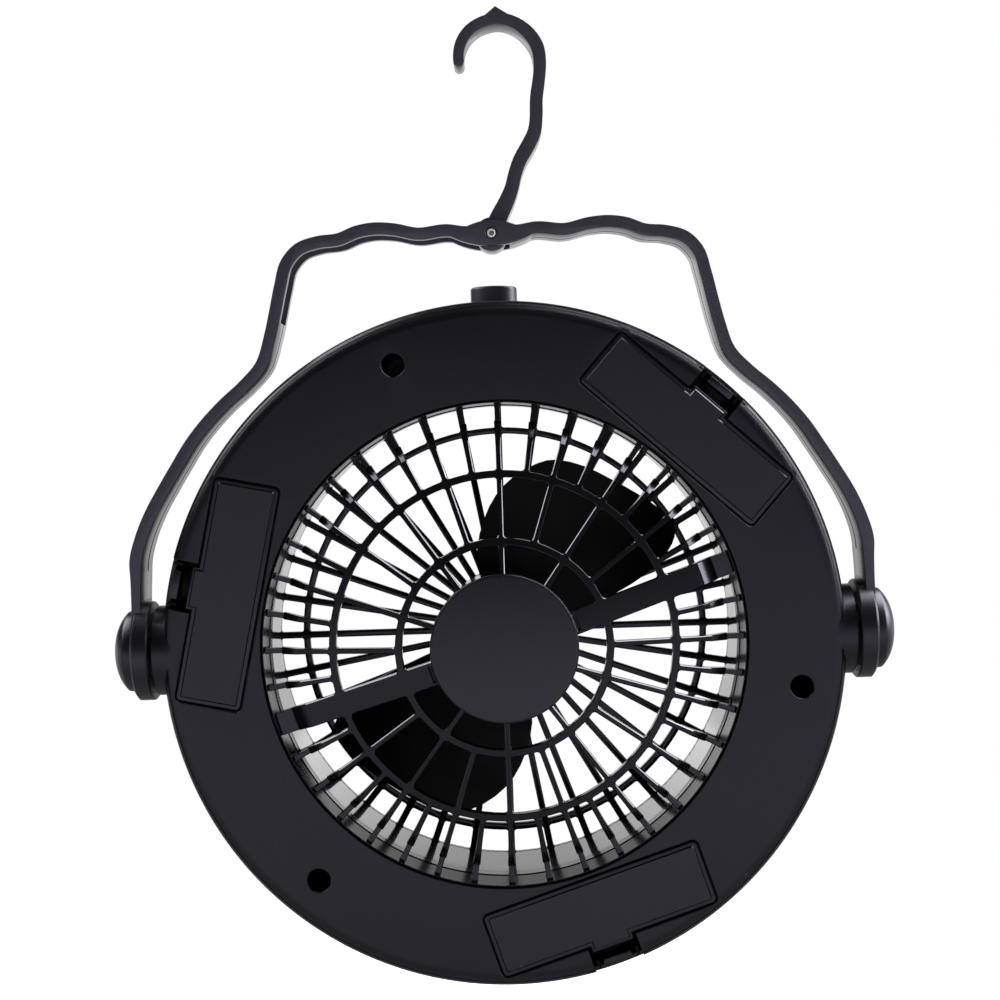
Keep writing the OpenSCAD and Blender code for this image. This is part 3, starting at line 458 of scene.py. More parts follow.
class Bench:
    """Makes and shapes solids with Blender's own tools, lying, sizes in millimetres."""

    def alone(self, piece: Piece) -> None:
        """Selects a piece and nothing else, and makes it the active one."""
        bpy.ops.object.select_all(action="DESELECT")
        piece.select_set(True)
        bpy.context.view_layer.objects.active = piece

    def seed(self, name: str, at: Point) -> Piece:
        """Starts a piece from one point and stays in edit mode.

        Args:
            name: The piece's name.
            at: Where the point is.

        Returns:
            The new piece.
        """
        bpy.ops.object.select_all(action="DESELECT")
        bpy.ops.mesh.primitive_plane_add(size=MM)
        piece = bpy.context.active_object
        piece.name = name
        bpy.ops.object.mode_set(mode="EDIT")
        bpy.ops.mesh.select_mode(type="VERT")
        bpy.ops.mesh.select_all(action="SELECT")
        bpy.ops.mesh.merge(type="CENTER")
        bpy.ops.transform.translate(value=Vector(at) * MM)
        return piece

    def chain(self, points: Sequence[Point]) -> None:
        """Draws a line on from the selected point, which is the first of the points."""
        here = Vector(points[0])
        for point in points[1:]:
            there = Vector(point)
            bpy.ops.mesh.extrude_region_move(
                TRANSFORM_OT_translate={"value": (there - here) * MM}
            )
            here = there

    def close(self, piece: Piece) -> Piece:
        """Merges doubles, turns the faces outwards and leaves edit mode."""
        bpy.ops.mesh.select_all(action="SELECT")
        bpy.ops.mesh.remove_doubles(threshold=MERGE)
        bpy.ops.mesh.normals_make_consistent(inside=False)
        bpy.ops.object.mode_set(mode="OBJECT")
        return piece

    def prism(self, name: str, outline: Sequence[Point], lift: Point, fillet: float = 0.0,
              corners: Sequence[int] = ()) -> Piece:
        """Fills an outline and extrudes it.

        Args:
            name: The piece's name.
            outline: The points round the face.
            lift: Where the extrusion goes.
            fillet: Radius of the rounded corners.
            corners: Which points are rounded.

        Returns:
            The closed solid.
        """
        piece = self.seed(name, outline[0])
        self.chain(outline)
        bpy.ops.mesh.select_all(action="SELECT")
        bpy.ops.mesh.edge_face_add()
        if corners:
            places = [Vector(outline[i]) * MM for i in corners]
            self.pick_points(piece, lambda co: any((co - p).length < MERGE for p in places))
            bpy.ops.mesh.bevel(offset=fillet * MM, segments=4, affect="VERTICES")
            bpy.ops.mesh.select_all(action="SELECT")
        bpy.ops.mesh.extrude_region_move(TRANSFORM_OT_translate={"value": Vector(lift) * MM})
        return self.close(piece)

    def lathe(self, name: str, profile: Sequence[Flat], steps: int = 120) -> Piece:
        """Spins a profile of radius and height round the z axis.

        Args:
            name: The piece's name.
            profile: The profile, closed by itself unless both its ends are on the axis.
            steps: The number of facets round.

        Returns:
            The closed solid.
        """
        points = [(r, 0.0, z) for r, z in profile]
        if profile[0][0] > MERGE or profile[-1][0] > MERGE:
            points.append(points[0])
        piece = self.seed(name, points[0])
        self.chain(points)
        bpy.ops.mesh.select_all(action="SELECT")
        bpy.ops.mesh.remove_doubles(threshold=MERGE)
        bpy.ops.mesh.spin(steps=steps, angle=math.tau, center=(0, 0, 0), axis=(0, 0, 1))
        return self.close(piece)

    def block(self, name: str, low: Point, high: Point) -> Piece:
        """Adds a block between two corners."""
        mid = (Vector(low) + Vector(high)) / 2 * MM
        bpy.ops.object.select_all(action="DESELECT")
        bpy.ops.mesh.primitive_cube_add(size=1.0, location=mid)
        piece = bpy.context.active_object
        piece.name = name
        piece.scale = (Vector(high) - Vector(low)) * MM
        bpy.ops.object.transform_apply(location=True, rotation=True, scale=True)
        return piece

    def moved(self, piece: Piece, where: Matrix) -> Piece:
        """Puts a piece elsewhere, with its place in its mesh.

        Args:
            piece: The piece.
            where: The move in metres.

        Returns:
            The same piece.
        """
        self.alone(piece)
        piece.matrix_world = where
        bpy.ops.object.transform_apply(location=True, rotation=True, scale=True)
        return piece

    def copies(self, piece: Piece, angles: Sequence[float]) -> list[Piece]:
        """Copies a piece round the axis, each copy with its own mesh.

        Args:
            piece: The piece, which stays as the first of them, turned to the first angle.
            angles: The angles in degrees.

        Returns:
            All the pieces.
        """
        out = [piece]
        for _ in angles[1:]:
            twin = piece.copy()
            twin.data = piece.data.copy()
            bpy.context.collection.objects.link(twin)
            out.append(twin)
        for each, angle in zip(out, angles):
            self.moved(each, Matrix.Rotation(math.radians(angle), 4, "Z"))
        return out

    def gather(self, pieces: Sequence[Piece]) -> Piece:
        """Joins pieces into the first of them and returns it."""
        bpy.ops.object.select_all(action="DESELECT")
        for piece in pieces:
            piece.select_set(True)
        bpy.context.view_layer.objects.active = pieces[0]
        if len(pieces) > 1:
            bpy.ops.object.join()
        return pieces[0]

    def act(self, piece: Piece, join: Join, *tools: Piece) -> Piece:
        """Adds solids to a piece or cuts them out of it.

        Args:
            piece: The piece.
            join: What the tools do.
            *tools: Solids that don't touch each other. They are used up.

        Returns:
            The same piece.
        """
        tool = self.gather(list(tools))
        mod = piece.modifiers.new(join.name, "BOOLEAN")
        mod.operation = join.value
        mod.solver = "EXACT"
        mod.object = tool
        self.apply(piece, mod)
        bpy.data.objects.remove(tool, do_unlink=True)
        return piece

    def apply(self, piece: Piece, mod: bpy.types.Modifier) -> None:
        """Applies a modifier of a piece."""
        self.alone(piece)
        bpy.ops.object.modifier_apply(modifier=mod.name)

    def pick_points(self, piece: Piece, wanted: Callable[[Vector], bool]) -> None:
        """Selects points by their place and comes back in edit mode."""
        bpy.ops.mesh.select_mode(type="VERT")
        bpy.ops.mesh.select_all(action="DESELECT")
        bpy.ops.object.mode_set(mode="OBJECT")
        for vert in piece.data.vertices:
            vert.select = wanted(vert.co)
        bpy.ops.object.mode_set(mode="EDIT")

    def soften(self, piece: Piece, wanted: Callable[[Vector, Vector], bool], width: float,
               segments: int = 2) -> Piece:
        """Rounds the edges that are wanted.

        Args:
            piece: The piece.
            wanted: Tells from an edge's two ends, in millimetres, whether it is rounded.
            width: Width of the rounding.
            segments: Facets across it.

        Returns:
            The same piece.
        """
        self.alone(piece)
        bpy.ops.object.mode_set(mode="EDIT")
        bpy.ops.mesh.select_mode(type="EDGE")
        bpy.ops.mesh.select_all(action="DESELECT")
        bpy.ops.object.mode_set(mode="OBJECT")
        verts = piece.data.vertices
        for edge in piece.data.edges:
            a, b = (verts[i].co / MM for i in edge.vertices)
            edge.select = wanted(a, b)
        bpy.ops.object.mode_set(mode="EDIT")
        bpy.ops.mesh.bevel(offset=width * MM, segments=segments, affect="EDGES")
        bpy.ops.object.mode_set(mode="OBJECT")
        return piece

    def bevelled(self, piece: Piece, width: float, segments: int = 2, angle: float = 50.0,
                 clamp: bool = True) -> Piece:
        """Rounds every edge sharper than an angle.

        Args:
            piece: The piece.
            width: Width of the rounding.
            segments: Facets across it.
            angle: The angle in degrees.
            clamp: Whether the rounding gives way where edges lie close together.

        Returns:
            The same piece.
        """
        mod = piece.modifiers.new("soft_edges", "BEVEL")
        mod.width = width * MM
        mod.segments = segments
        mod.limit_method = "ANGLE"
        mod.angle_limit = math.radians(angle)
        mod.use_clamp_overlap = clamp
        self.apply(piece, mod)
        return piece

    def tidy(self, piece: Piece) -> Piece:
        """Merges doubles of a piece in object mode."""
        self.alone(piece)
        bpy.ops.object.mode_set(mode="EDIT")
        return self.close(piece)

    def flattened(self, piece: Piece) -> Piece:
        """Dissolves the seams between a piece's coplanar faces."""
        self.alone(piece)
        bpy.ops.object.mode_set(mode="EDIT")
        bpy.ops.mesh.select_all(action="SELECT")
        bpy.ops.mesh.dissolve_limited(angle_limit=math.radians(COPLANAR))
        return self.close(piece)


BENCH = Bench()


@dataclass(frozen=True)
class Layout:
    """Sizes that several sub-assemblies share, in millimetres, lying on the front rim.

    Attributes:
        case_r: Radius of the case.
        case_t: Height of the rear face.
        duct_r: Radius of the duct.
        opening_r: Radius of the opening in the rear face.
        seam_h: Height of the seam between the two shells.
        pivot_z: Height of the pivots' axis.
        pivot_bore: Radius of the bores for the pivot screws.
        pin_h: How far the hook's pin lies from the fan's axis.
        hang_y: How far the hook's seat lies from it.
        slope: Slope of the domed grille.
        doors: Angles of the doors.
        screws: Angles of the case screws.
        screw_r: Radius on which they lie.
        door_x: Inner edge of a door.
        door_w: Width of a door.
        door_l: Its length.
        door_t: Its thickness.
        door_corner: Radius of its corners.
        door_gap: Gap round it.
        tab_y: How far the hinge tabs lie from a door's middle.
    """

    case_r: float = 95.05
    case_t: float = 44.0
    duct_r: float = 66.95
    opening_r: float = 67.25
    seam_h: float = 12.0
    pivot_z: float = 31.0
    pivot_bore: float = 3.05
    pin_h: float = 114.1
    hang_y: float = 172.1
    slope: float = 0.21
    doors: tuple[float, ...] = (48.0, 168.0, 288.0)
    screws: tuple[float, ...] = (110.0, 230.0, 350.0)
    screw_r: float = 82.9
    door_x: float = 68.75
    door_w: float = 17.9
    door_l: float = 62.3
    door_t: float = 1.7
    door_corner: float = 1.3
    door_gap: float = 0.4
    tab_y: tuple[float, float] = (-20.0, 20.0)

    def cone_z(self, radius: float) -> float:
        """Returns the height of the rear grille's face at a radius."""
        return self.case_t + (self.duct_r - radius) * self.slope

    def stand(self) -> Matrix:
        """Returns the move from lying to hanging, in metres."""
        place = Matrix.Translation((0.0, self.pivot_z * MM, -self.hang_y * MM))
        return place @ Matrix.Rotation(math.radians(90.0), 4, "X")

    def sideways(self, side: int, reach: float) -> Matrix:
        """Returns the move that lays an upright solid on the pivots' axis.

        Args:
            side: 1 for the right pivot, -1 for the left one.
            reach: How far from the middle its foot then is.

        Returns:
            The move in metres.
        """
        place = Matrix.Translation((side * reach * MM, 0, self.pivot_z * MM))
        return place @ Matrix.Rotation(side * math.pi / 2, 4, "Y")

    def upwards(self, reach: float, height: float) -> Matrix:
        """Returns the move that points an upright solid to the top of the hanging fan.

        Args:
            reach: How far from the middle its foot then is.
            height: Height of its axis.

        Returns:
            The move in metres.
        """
        place = Matrix.Translation((0, reach * MM, height * MM))
        return place @ Matrix.Rotation(-math.pi / 2, 4, "X")

    def at_pin(self) -> Matrix:
        """Returns the move of an upright solid to the hook's pin, in metres."""
        return Matrix.Translation((0, self.pin_h * MM, 0))

    def door_mid(self) -> float:
        """Returns the radius of a door's middle line."""
        return self.door_x + self.door_w / 2

    def door_plan(self, gap: float) -> list[Flat]:
        """Outlines a door with a gap all round.

        Args:
            gap: The gap.

        Returns:
            The rounded rectangle's points.
        """
        r = max(self.door_corner + gap, 0.6)
        half_w, half_l = self.door_w / 2 + gap - r, self.door_l / 2 + gap - r
        mid, out = self.door_mid(), []
        for x, y, start in ((1, 1, 0), (-1, 1, 90), (-1, -1, 180), (1, -1, 270)):
            out += around((mid + x * half_w, y * half_l), r, start, start + 90, 5)
        return out


AT = Layout()


def settle(piece: Piece, body: str, faces: Sequence[Finish], nodes: Sequence[str],
           which: Callable[[Vector, Vector], int] | None = None, angle: float = 35.0) -> Piece:
    """Stands a finished piece up and dresses it.

    Args:
        piece: The piece, still lying.
        body: The body it rides on.
        faces: Its finishes.
        nodes: The nodes it stands for.
        which: Tells from a face's middle and normal, lying, which finish it takes.
        angle: Edges sharper than this stay crisp.

    Returns:
        The same piece.
    """
    piece.data.materials.clear()
    for finish in faces:
        piece.data.materials.append(finish.material())
    if which:
        for poly in piece.data.polygons:
            poly.material_index = which(poly.center / MM, poly.normal)
    BENCH.moved(piece, AT.stand())
    bpy.ops.object.shade_smooth_by_angle(angle=math.radians(angle))
    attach(piece, body)
    if nodes:
        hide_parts(*nodes)
    log.info("built %s on %s", piece.name, body)
    return piece


def rear_faces(middle: Vector, normal: Vector) -> int:
    """Tells the flat rear-facing faces, which are grained, from the glossy sides."""
    return 0 if normal.z > 0.72 else 1


@dataclass
class RearShell:
    """The rear half of the case, with its door wells, latch recesses and pivot bosses.

    Attributes:
        round_r: Radius of the outer edge.
        wall: Thickness of the walls.
        chamfer: Width of the small chamfers round the wells.
        bay_half_w: Half the width of a cell's box.
        bay_l: Length of a cell's box.
        bay_floor: Height of its floor.
        bay_wall: Its wall.
        recess_w: Width of the recess round a latch.
        recess_h: Its depth.
        rim_drop: How far the case's edge is cut down there.
        rim_wall: The wall that stays outside the recess.
        boss_r: Radius of the pivot bosses.
        boss_in: Where a boss starts inside.
        boss_out: Its outer face.
        bore_r: Radius of the counterbores.
        bore_z: Their floor.
        tower_z: Where the screw towers start.
        tower_r: Radius of the towers.
        button_z: Height of the button.
        button_r: Radius of its bore.
        ledge_z: Height of the ledge over the grille's flange.
        rib_y: Where the ribs of a latch recess stand, across.
        rib_half: Half their thickness.
        tab_half: Half the width of the rooms for the hinge tabs.
    """

    round_r: float = 4.5
    wall: float = 2.0
    chamfer: float = 0.3
    bay_half_w: float = 7.25
    bay_l: float = 57.0
    bay_floor: float = 27.4
    bay_wall: float = 1.2
    recess_w: float = 14.0
    recess_h: float = 10.8
    rim_drop: float = 5.2
    rim_wall: float = 1.2
    boss_r: float = 12.6
    boss_in: float = 89.15
    boss_out: float = 97.85
    bore_r: float = 3.2
    bore_z: float = 18.0
    tower_z: float = 15.95
    tower_r: float = 4.6
    button_z: float = 22.0
    button_r: float = 6.95
    ledge_z: float = 31.35
    rib_y: Flat = (-5.7, 5.7)
    rib_half: float = 0.4
    tab_half: float = 2.3

    def build(self) -> Piece:
        """Models the shell.

        Returns:
            The finished piece.
        """
        shell = BENCH.lathe("rear_shell", self._section(), 288)
        for parts in self._added():
            BENCH.act(shell, Join.ADD, *parts)
        for parts in self._cut():
            BENCH.act(shell, Join.CUT, *parts)
        BENCH.act(shell, Join.ADD, *self._ribs())
        return settle(shell, "case", (MATTE, SATIN, SHADE_BLACK, GLOSS), ("rear_case",),
                      self._grained)

    def _grained(self, middle: Vector, normal: Vector) -> int:
        """Grains the outside, leaves the opening satin and paints shade into the deep rooms with a
        darker black.
        """
        radius = math.hypot(middle.x, middle.y)
        if AT.opening_r + 0.3 < radius < AT.case_r - 1.15 and middle.z < AT.case_t - 0.9:
            return 2
        if radius < AT.opening_r + 0.4 and normal.z < 0.95:
            return 3
        return 1 if radius < AT.case_r - 5.5 and normal.z < 0.5 else 0

    def _ribs(self) -> list[Piece]:
        """Makes the small ribs at both ends of each latch recess."""
        half, out = self.rib_half, []
        for place in self.rib_y:
            out += self._turned(lambda: BENCH.block(
                "latch_rib", (AT.case_r - 3.4, place - half, AT.case_t - self.recess_h - 0.5),
                (AT.case_r - 0.9, place + half, AT.case_t - 3.6)))
        return out

    def _section(self) -> list[Flat]:
        """Returns the shell's section."""
        r, t, o = AT.case_r, AT.case_t, AT.opening_r
        mid = (r - self.round_r, t - self.round_r)
        inner = self.round_r - self.wall
        return ([(r - 0.25, AT.seam_h), (r, AT.seam_h + 0.25)]
                + around(mid, self.round_r, 0, 90, 10)
                + [(o + 0.28, t), (o, t - 0.31), (o, self.ledge_z), (o + 2, self.ledge_z),
                   (o + 2, t - self.wall)]
                + around(mid, inner, 90, 0, 4)
                + [(r - self.wall, AT.seam_h)])

    def _turned(self, pieces: Callable[[], Piece]) -> list[Piece]:
        """Makes a piece once and copies it to the three doors."""
        return BENCH.copies(pieces(), AT.doors)

    def _added(self) -> list[list[Piece]]:
        """Makes the boxes, towers, bosses and collar, in groups that don't touch."""
        mid, half = AT.door_mid(), self.bay_half_w + self.bay_wall
        top = AT.case_t - self.wall / 2
        end = self.bay_l / 2 + self.bay_wall
        boxes = self._turned(lambda: BENCH.block(
            "bay_box", (mid - half, -end, self.bay_floor - self.bay_wall), (mid + half, end, top)))
        ledges = self._turned(lambda: BENCH.prism(
            "door_ledge", raised(AT.door_plan(AT.door_gap + self.bay_wall),
                                 AT.case_t - AT.door_t - 1.25), (0, 0, 2.2)))
        side = self.recess_w / 2 + self.bay_wall
        pockets = self._turned(lambda: BENCH.block(
            "latch_pocket", (mid + self.bay_half_w, -side, AT.case_t - self.recess_h - 1.2),
            (AT.case_r - 1.6, side, top)))
        towers = BENCH.copies(
            BENCH.prism("screw_tower", raised(around((AT.screw_r, 0), self.tower_r, 0, 345, 23),
                                              self.tower_z), (0, 0, top - self.tower_z)),
            AT.screws)
        return [boxes + towers, ledges, pockets, self._bosses() + [self._collar()]]

    def _bosses(self) -> list[Piece]:
        """Makes the two pivot bosses, each with a small foot against the case."""
        r, length = self.boss_r, self.boss_out - self.boss_in
        profile = [(0, 0), (r + 0.2, 0), (r + 0.2, 4.6), (r, 5.4), (r, length - 0.3),
                   (r - 0.3, length), (0, length)]
        return [BENCH.moved(BENCH.lathe("pivot_boss", profile, 72),
                            AT.sideways(side, self.boss_in)) for side in (1, -1)]

    def _collar(self) -> Piece:
        """Makes the low collar round the push button."""
        r, w = self.button_r, 0.75
        collar = BENCH.lathe("button_collar", [
            (r - 0.6, 0), (r + w, 0), (r + w, 1.3), (r + w - 0.25, 1.6), (r - 0.6, 1.6)], 64)
        return BENCH.moved(collar, AT.upwards(AT.case_r - 1.0, self.button_z))

    def _cut(self) -> list[list[Piece]]:
        """Makes all that is cut out, in groups that don't touch."""
        mid, over = AT.door_mid(), AT.case_t + 1.0
        boxes = self._turned(lambda: BENCH.block(
            "bay_room", (mid - self.bay_half_w, -self.bay_l / 2, self.bay_floor),
            (mid + self.bay_half_w, self.bay_l / 2, AT.case_t - 0.9)))
        wells = self._turned(lambda: BENCH.prism(
            "door_well", raised(AT.door_plan(AT.door_gap), AT.case_t - AT.door_t - 0.05),
            (0, 0, 3.0)))
        low = AT.case_t - self.chamfer
        flares = self._turned(lambda: BENCH.soften(
            BENCH.prism("well_flare", raised(AT.door_plan(AT.door_gap + self.chamfer), low),
                        (0, 0, 1.5)),
            lambda a, b: max(abs(a.z - low), abs(b.z - low)) < 0.01, self.chamfer * 0.98, 1))
        recess = self._turned(self._recess)
        edge = self._turned(lambda: BENCH.block(
            "rim_cut", (AT.case_r - 2.4, -self.recess_w / 2, AT.case_t - self.rim_drop),
            (AT.case_r + 1, self.recess_w / 2, over)))
        return [boxes, wells, flares, recess, edge, self._hinge_rooms(), self._bores(),
                self._holes()]

    def _recess(self) -> Piece:
        """Makes the room round a latch, its outer wall following the case."""
        r = AT.case_r - self.rim_wall
        half = self.recess_w / 2
        reach = math.degrees(math.asin(half / r))
        outline = ([(AT.door_mid() + self.bay_half_w + self.bay_wall, -half)]
                   + around((0, 0), r, -reach, reach, 6)
                   + [(AT.door_mid() + self.bay_half_w + self.bay_wall, half)])
        return BENCH.prism("latch_room", raised(outline, AT.case_t - self.recess_h), (0, 0, 12))

    def _hinge_rooms(self) -> list[Piece]:
        """Makes the six small rooms for the doors' hinge tabs."""
        half, out = self.tab_half, []
        for place in AT.tab_y:
            out += self._turned(lambda: BENCH.block(
                "tab_room", (AT.door_x - 1.1, place - half, AT.case_t - AT.door_t - 2.8),
                (AT.door_mid() - 3, place + half, AT.case_t - AT.door_t)))
        return out

    def _bores(self) -> list[Piece]:
        """Makes the three counterbores with their screw holes."""
        top = AT.case_t
        bore = BENCH.lathe("screw_bore", [
            (0, self.tower_z - 1), (1.7, self.tower_z - 1), (1.7, self.bore_z),
            (self.bore_r, self.bore_z), (self.bore_r, top - 0.25), (self.bore_r + 0.35, top + 0.1),
            (self.bore_r + 0.35, top + 1), (0, top + 1)], 40)
        BENCH.moved(bore, Matrix.Translation((AT.screw_r * MM, 0, 0)))
        return BENCH.copies(bore, AT.screws)

    def _holes(self) -> list[Piece]:
        """Makes the bores for the push button and the pivot screws."""
        button = BENCH.lathe("button_bore", [(0, 0), (self.button_r, 0), (self.button_r, 14),
                                             (self.button_r + 0.3, 14.6), (0, 14.6)], 64)
        out = [BENCH.moved(button, AT.upwards(81.3, self.button_z))]
        for side in (1, -1):
            hole = BENCH.lathe("pivot_bore", [(0, -1), (AT.pivot_bore, -1), (AT.pivot_bore, 10),
                                              (0, 10)], 40)
            out.append(BENCH.moved(hole, AT.sideways(side, self.boss_in)))
        return out


@dataclass
class BatteryDoors:
    """The three battery doors, each with hinge tabs, a tongue and a U-shaped latch.

    Attributes:
        edge: Width of the rounding on a door's rim.
        lip: How far the raised panel stands above the rim.
        inset: How far the panel stays inside the rim.
        tongue: How far the tongue reaches over the recess.
        tongue_half: Half its width.
        latch_half: Half the latch's width.
        low: How far the latch reaches down from the rear face.
        leg: Thickness of the latch's legs.
        leg_x: Outer face of its outer leg.
        thumb_x: Outer face of the thumb piece.
        thumb_top: How far the thumb piece lies below the rear face.
        thumb_t: Its height.
        tab_half: Half the width of a hinge tab.
    """

    edge: float = 0.3
    lip: float = 0.33
    inset: float = 1.05
    tongue: float = 1.8
    tongue_half: float = 6.0
    latch_half: float = 4.05
    low: float = 8.4
    leg: float = 1.2
    leg_x: float = 92.55
    thumb_x: float = 93.65
    thumb_top: float = 1.8
    thumb_t: float = 2.6
    tab_half: float = 2.0

    def build(self) -> list[Piece]:
        """Models one door and copies it to the other two places.

        Returns:
            The three doors.
        """
        doors = BENCH.copies(self._door(), AT.doors)
        for i, door in enumerate(doors, 1):
            door.name = f"bay_door_{i}"
            settle(door, f"door_{i}", (PALE_MATTE, SATIN, SHADE_BLACK, GLOSS),
                   (f"battery_door_{i}",), self._grained)
        return doors

    def _grained(self, middle: Vector, normal: Vector) -> int:
        """Grains the face, and paints shade into the latch's inside with a darker black."""
        if middle.z < AT.case_t - self.thumb_top - 0.5:
            return 2
        if middle.z > AT.case_t - self.lip and 0.5 < normal.z < 0.9:
            return 3
        return rear_faces(middle, normal)

    def _plan(self, inset: float, low: float) -> list[Point]:
        """Outlines the door with its tongue.

        Args:
            inset: How far inside the door's own outline it runs.
            low: Its height.

        Returns:
            The points.
        """
        edge_x = AT.door_x + AT.door_w - inset
        half, reach = self.tongue_half - inset * 0.7, self.tongue + inset * 0.4
        side = raised(AT.door_plan(-inset), low)
        step = [(edge_x, -half), (edge_x + reach, -half), (edge_x + reach, half), (edge_x, half)]
        return side + raised(step, low)

    def _door(self) -> Piece:
        """Models a door at angle zero."""
        top = AT.case_t
        face = top - self.lip
        plate = BENCH.prism("bay_door", self._plan(0.0, top - AT.door_t),
                            (0, 0, AT.door_t - self.lip))
        BENCH.soften(plate, lambda a, b: min(a.z, b.z) > face - 0.01, self.edge, 3)
        panel = BENCH.prism("door_panel", self._plan(self.inset, face - 0.2),
                            (0, 0, self.lip + 0.2))
        BENCH.soften(panel, lambda a, b: min(a.z, b.z) > top - 0.01, self.lip, 1)
        BENCH.act(plate, Join.ADD, panel)
        BENCH.flattened(plate)
        edge_x = AT.door_x + AT.door_w
        latch = BENCH.prism("latch", [(x, -self.latch_half, z) for x, z in self._latch(edge_x)],
                            (0, 2 * self.latch_half, 0))
        BENCH.bevelled(latch, 0.22, 2)
        parts, x, under = [plate, latch], AT.door_x, top - AT.door_t
        for place in AT.tab_y:
            low, high = place - self.tab_half, place + self.tab_half
            tab = BENCH.block("hinge_tab", (x - 0.7, low, under - 1.5),
                              (x + 2.4, high, under - 0.3))
            neck = BENCH.block("tab_neck", (x + 0.3, low, under - 1.5),
                               (x + 2.4, high, under + 0.2))
            parts += [BENCH.bevelled(tab, 0.15, 1), neck]
        return BENCH.gather(parts)

    def _latch(self, edge_x: float) -> list[Flat]:
        """Outlines the latch from the side, from its inner leg round to the thumb piece."""
        top = AT.case_t
        inner, floor = edge_x + self.tongue, top - self.low
        thumb = top - self.thumb_top
        return [(inner - self.leg, top - AT.door_t + 0.3), (inner - self.leg, floor + 0.8),
                (inner - self.leg + 0.8, floor), (self.leg_x - 0.8, floor),
                (self.leg_x, floor + 0.8), (self.leg_x, thumb - self.thumb_t),
                (self.thumb_x, thumb - self.thumb_t), (self.thumb_x, thumb),
                (self.leg_x - 1, thumb), (self.leg_x - 1, floor + self.leg),
                (inner, floor + self.leg), (inner, top - AT.door_t + 0.3)]


def opening(r_in: float, r_out: float, half: float, left: Sequence[Flat], right: Sequence[Flat],
            fillet: float) -> Piece:
    """Makes the solid that one opening is cut with.

    Args:
        r_in: Radius of its inner edge.
        r_out: Radius of its outer edge.
        half: Angle from its middle to the middles of its two bars.
        left: Radius and width of the bar on its left, along the bar.
        right: The same on its right.
        fillet: Radius of its corners.

    Returns:
        The cutter, with its middle on the x axis.
    """
    def side(bar: Sequence[Flat], sign: int) -> list[Flat]:
        """Lists the points along the side of a bar that faces the opening."""
        out = []
        for radius, width in bar:
            off = math.degrees(math.asin(width / 2 / radius))
            angle = math.radians(sign * (half - off))
            out.append((radius * math.cos(angle), radius * math.sin(angle)))
        return out

    up, down = side(left, 1), side(right, -1)
    a_out = math.degrees(math.atan2(up[-1][1], up[-1][0]))
    b_out = math.degrees(math.atan2(down[-1][1], down[-1][0]))
    a_in = math.degrees(math.atan2(up[0][1], up[0][0]))
    b_in = math.degrees(math.atan2(down[0][1], down[0][0]))
    outer = around((0, 0), r_out, a_out, b_out, 4)[1:-1]
    inner = around((0, 0), r_in, b_in, a_in, 4)[1:-1]
    outline = up + outer + down[::-1] + inner
    n, m = len(up), len(outer)
    corners = (0, n - 1, n + m, 2 * n + m - 1)
    return BENCH.prism("cell", raised(outline, CELL_FOOT), (0, 0, CELL_TALL), fillet, corners)


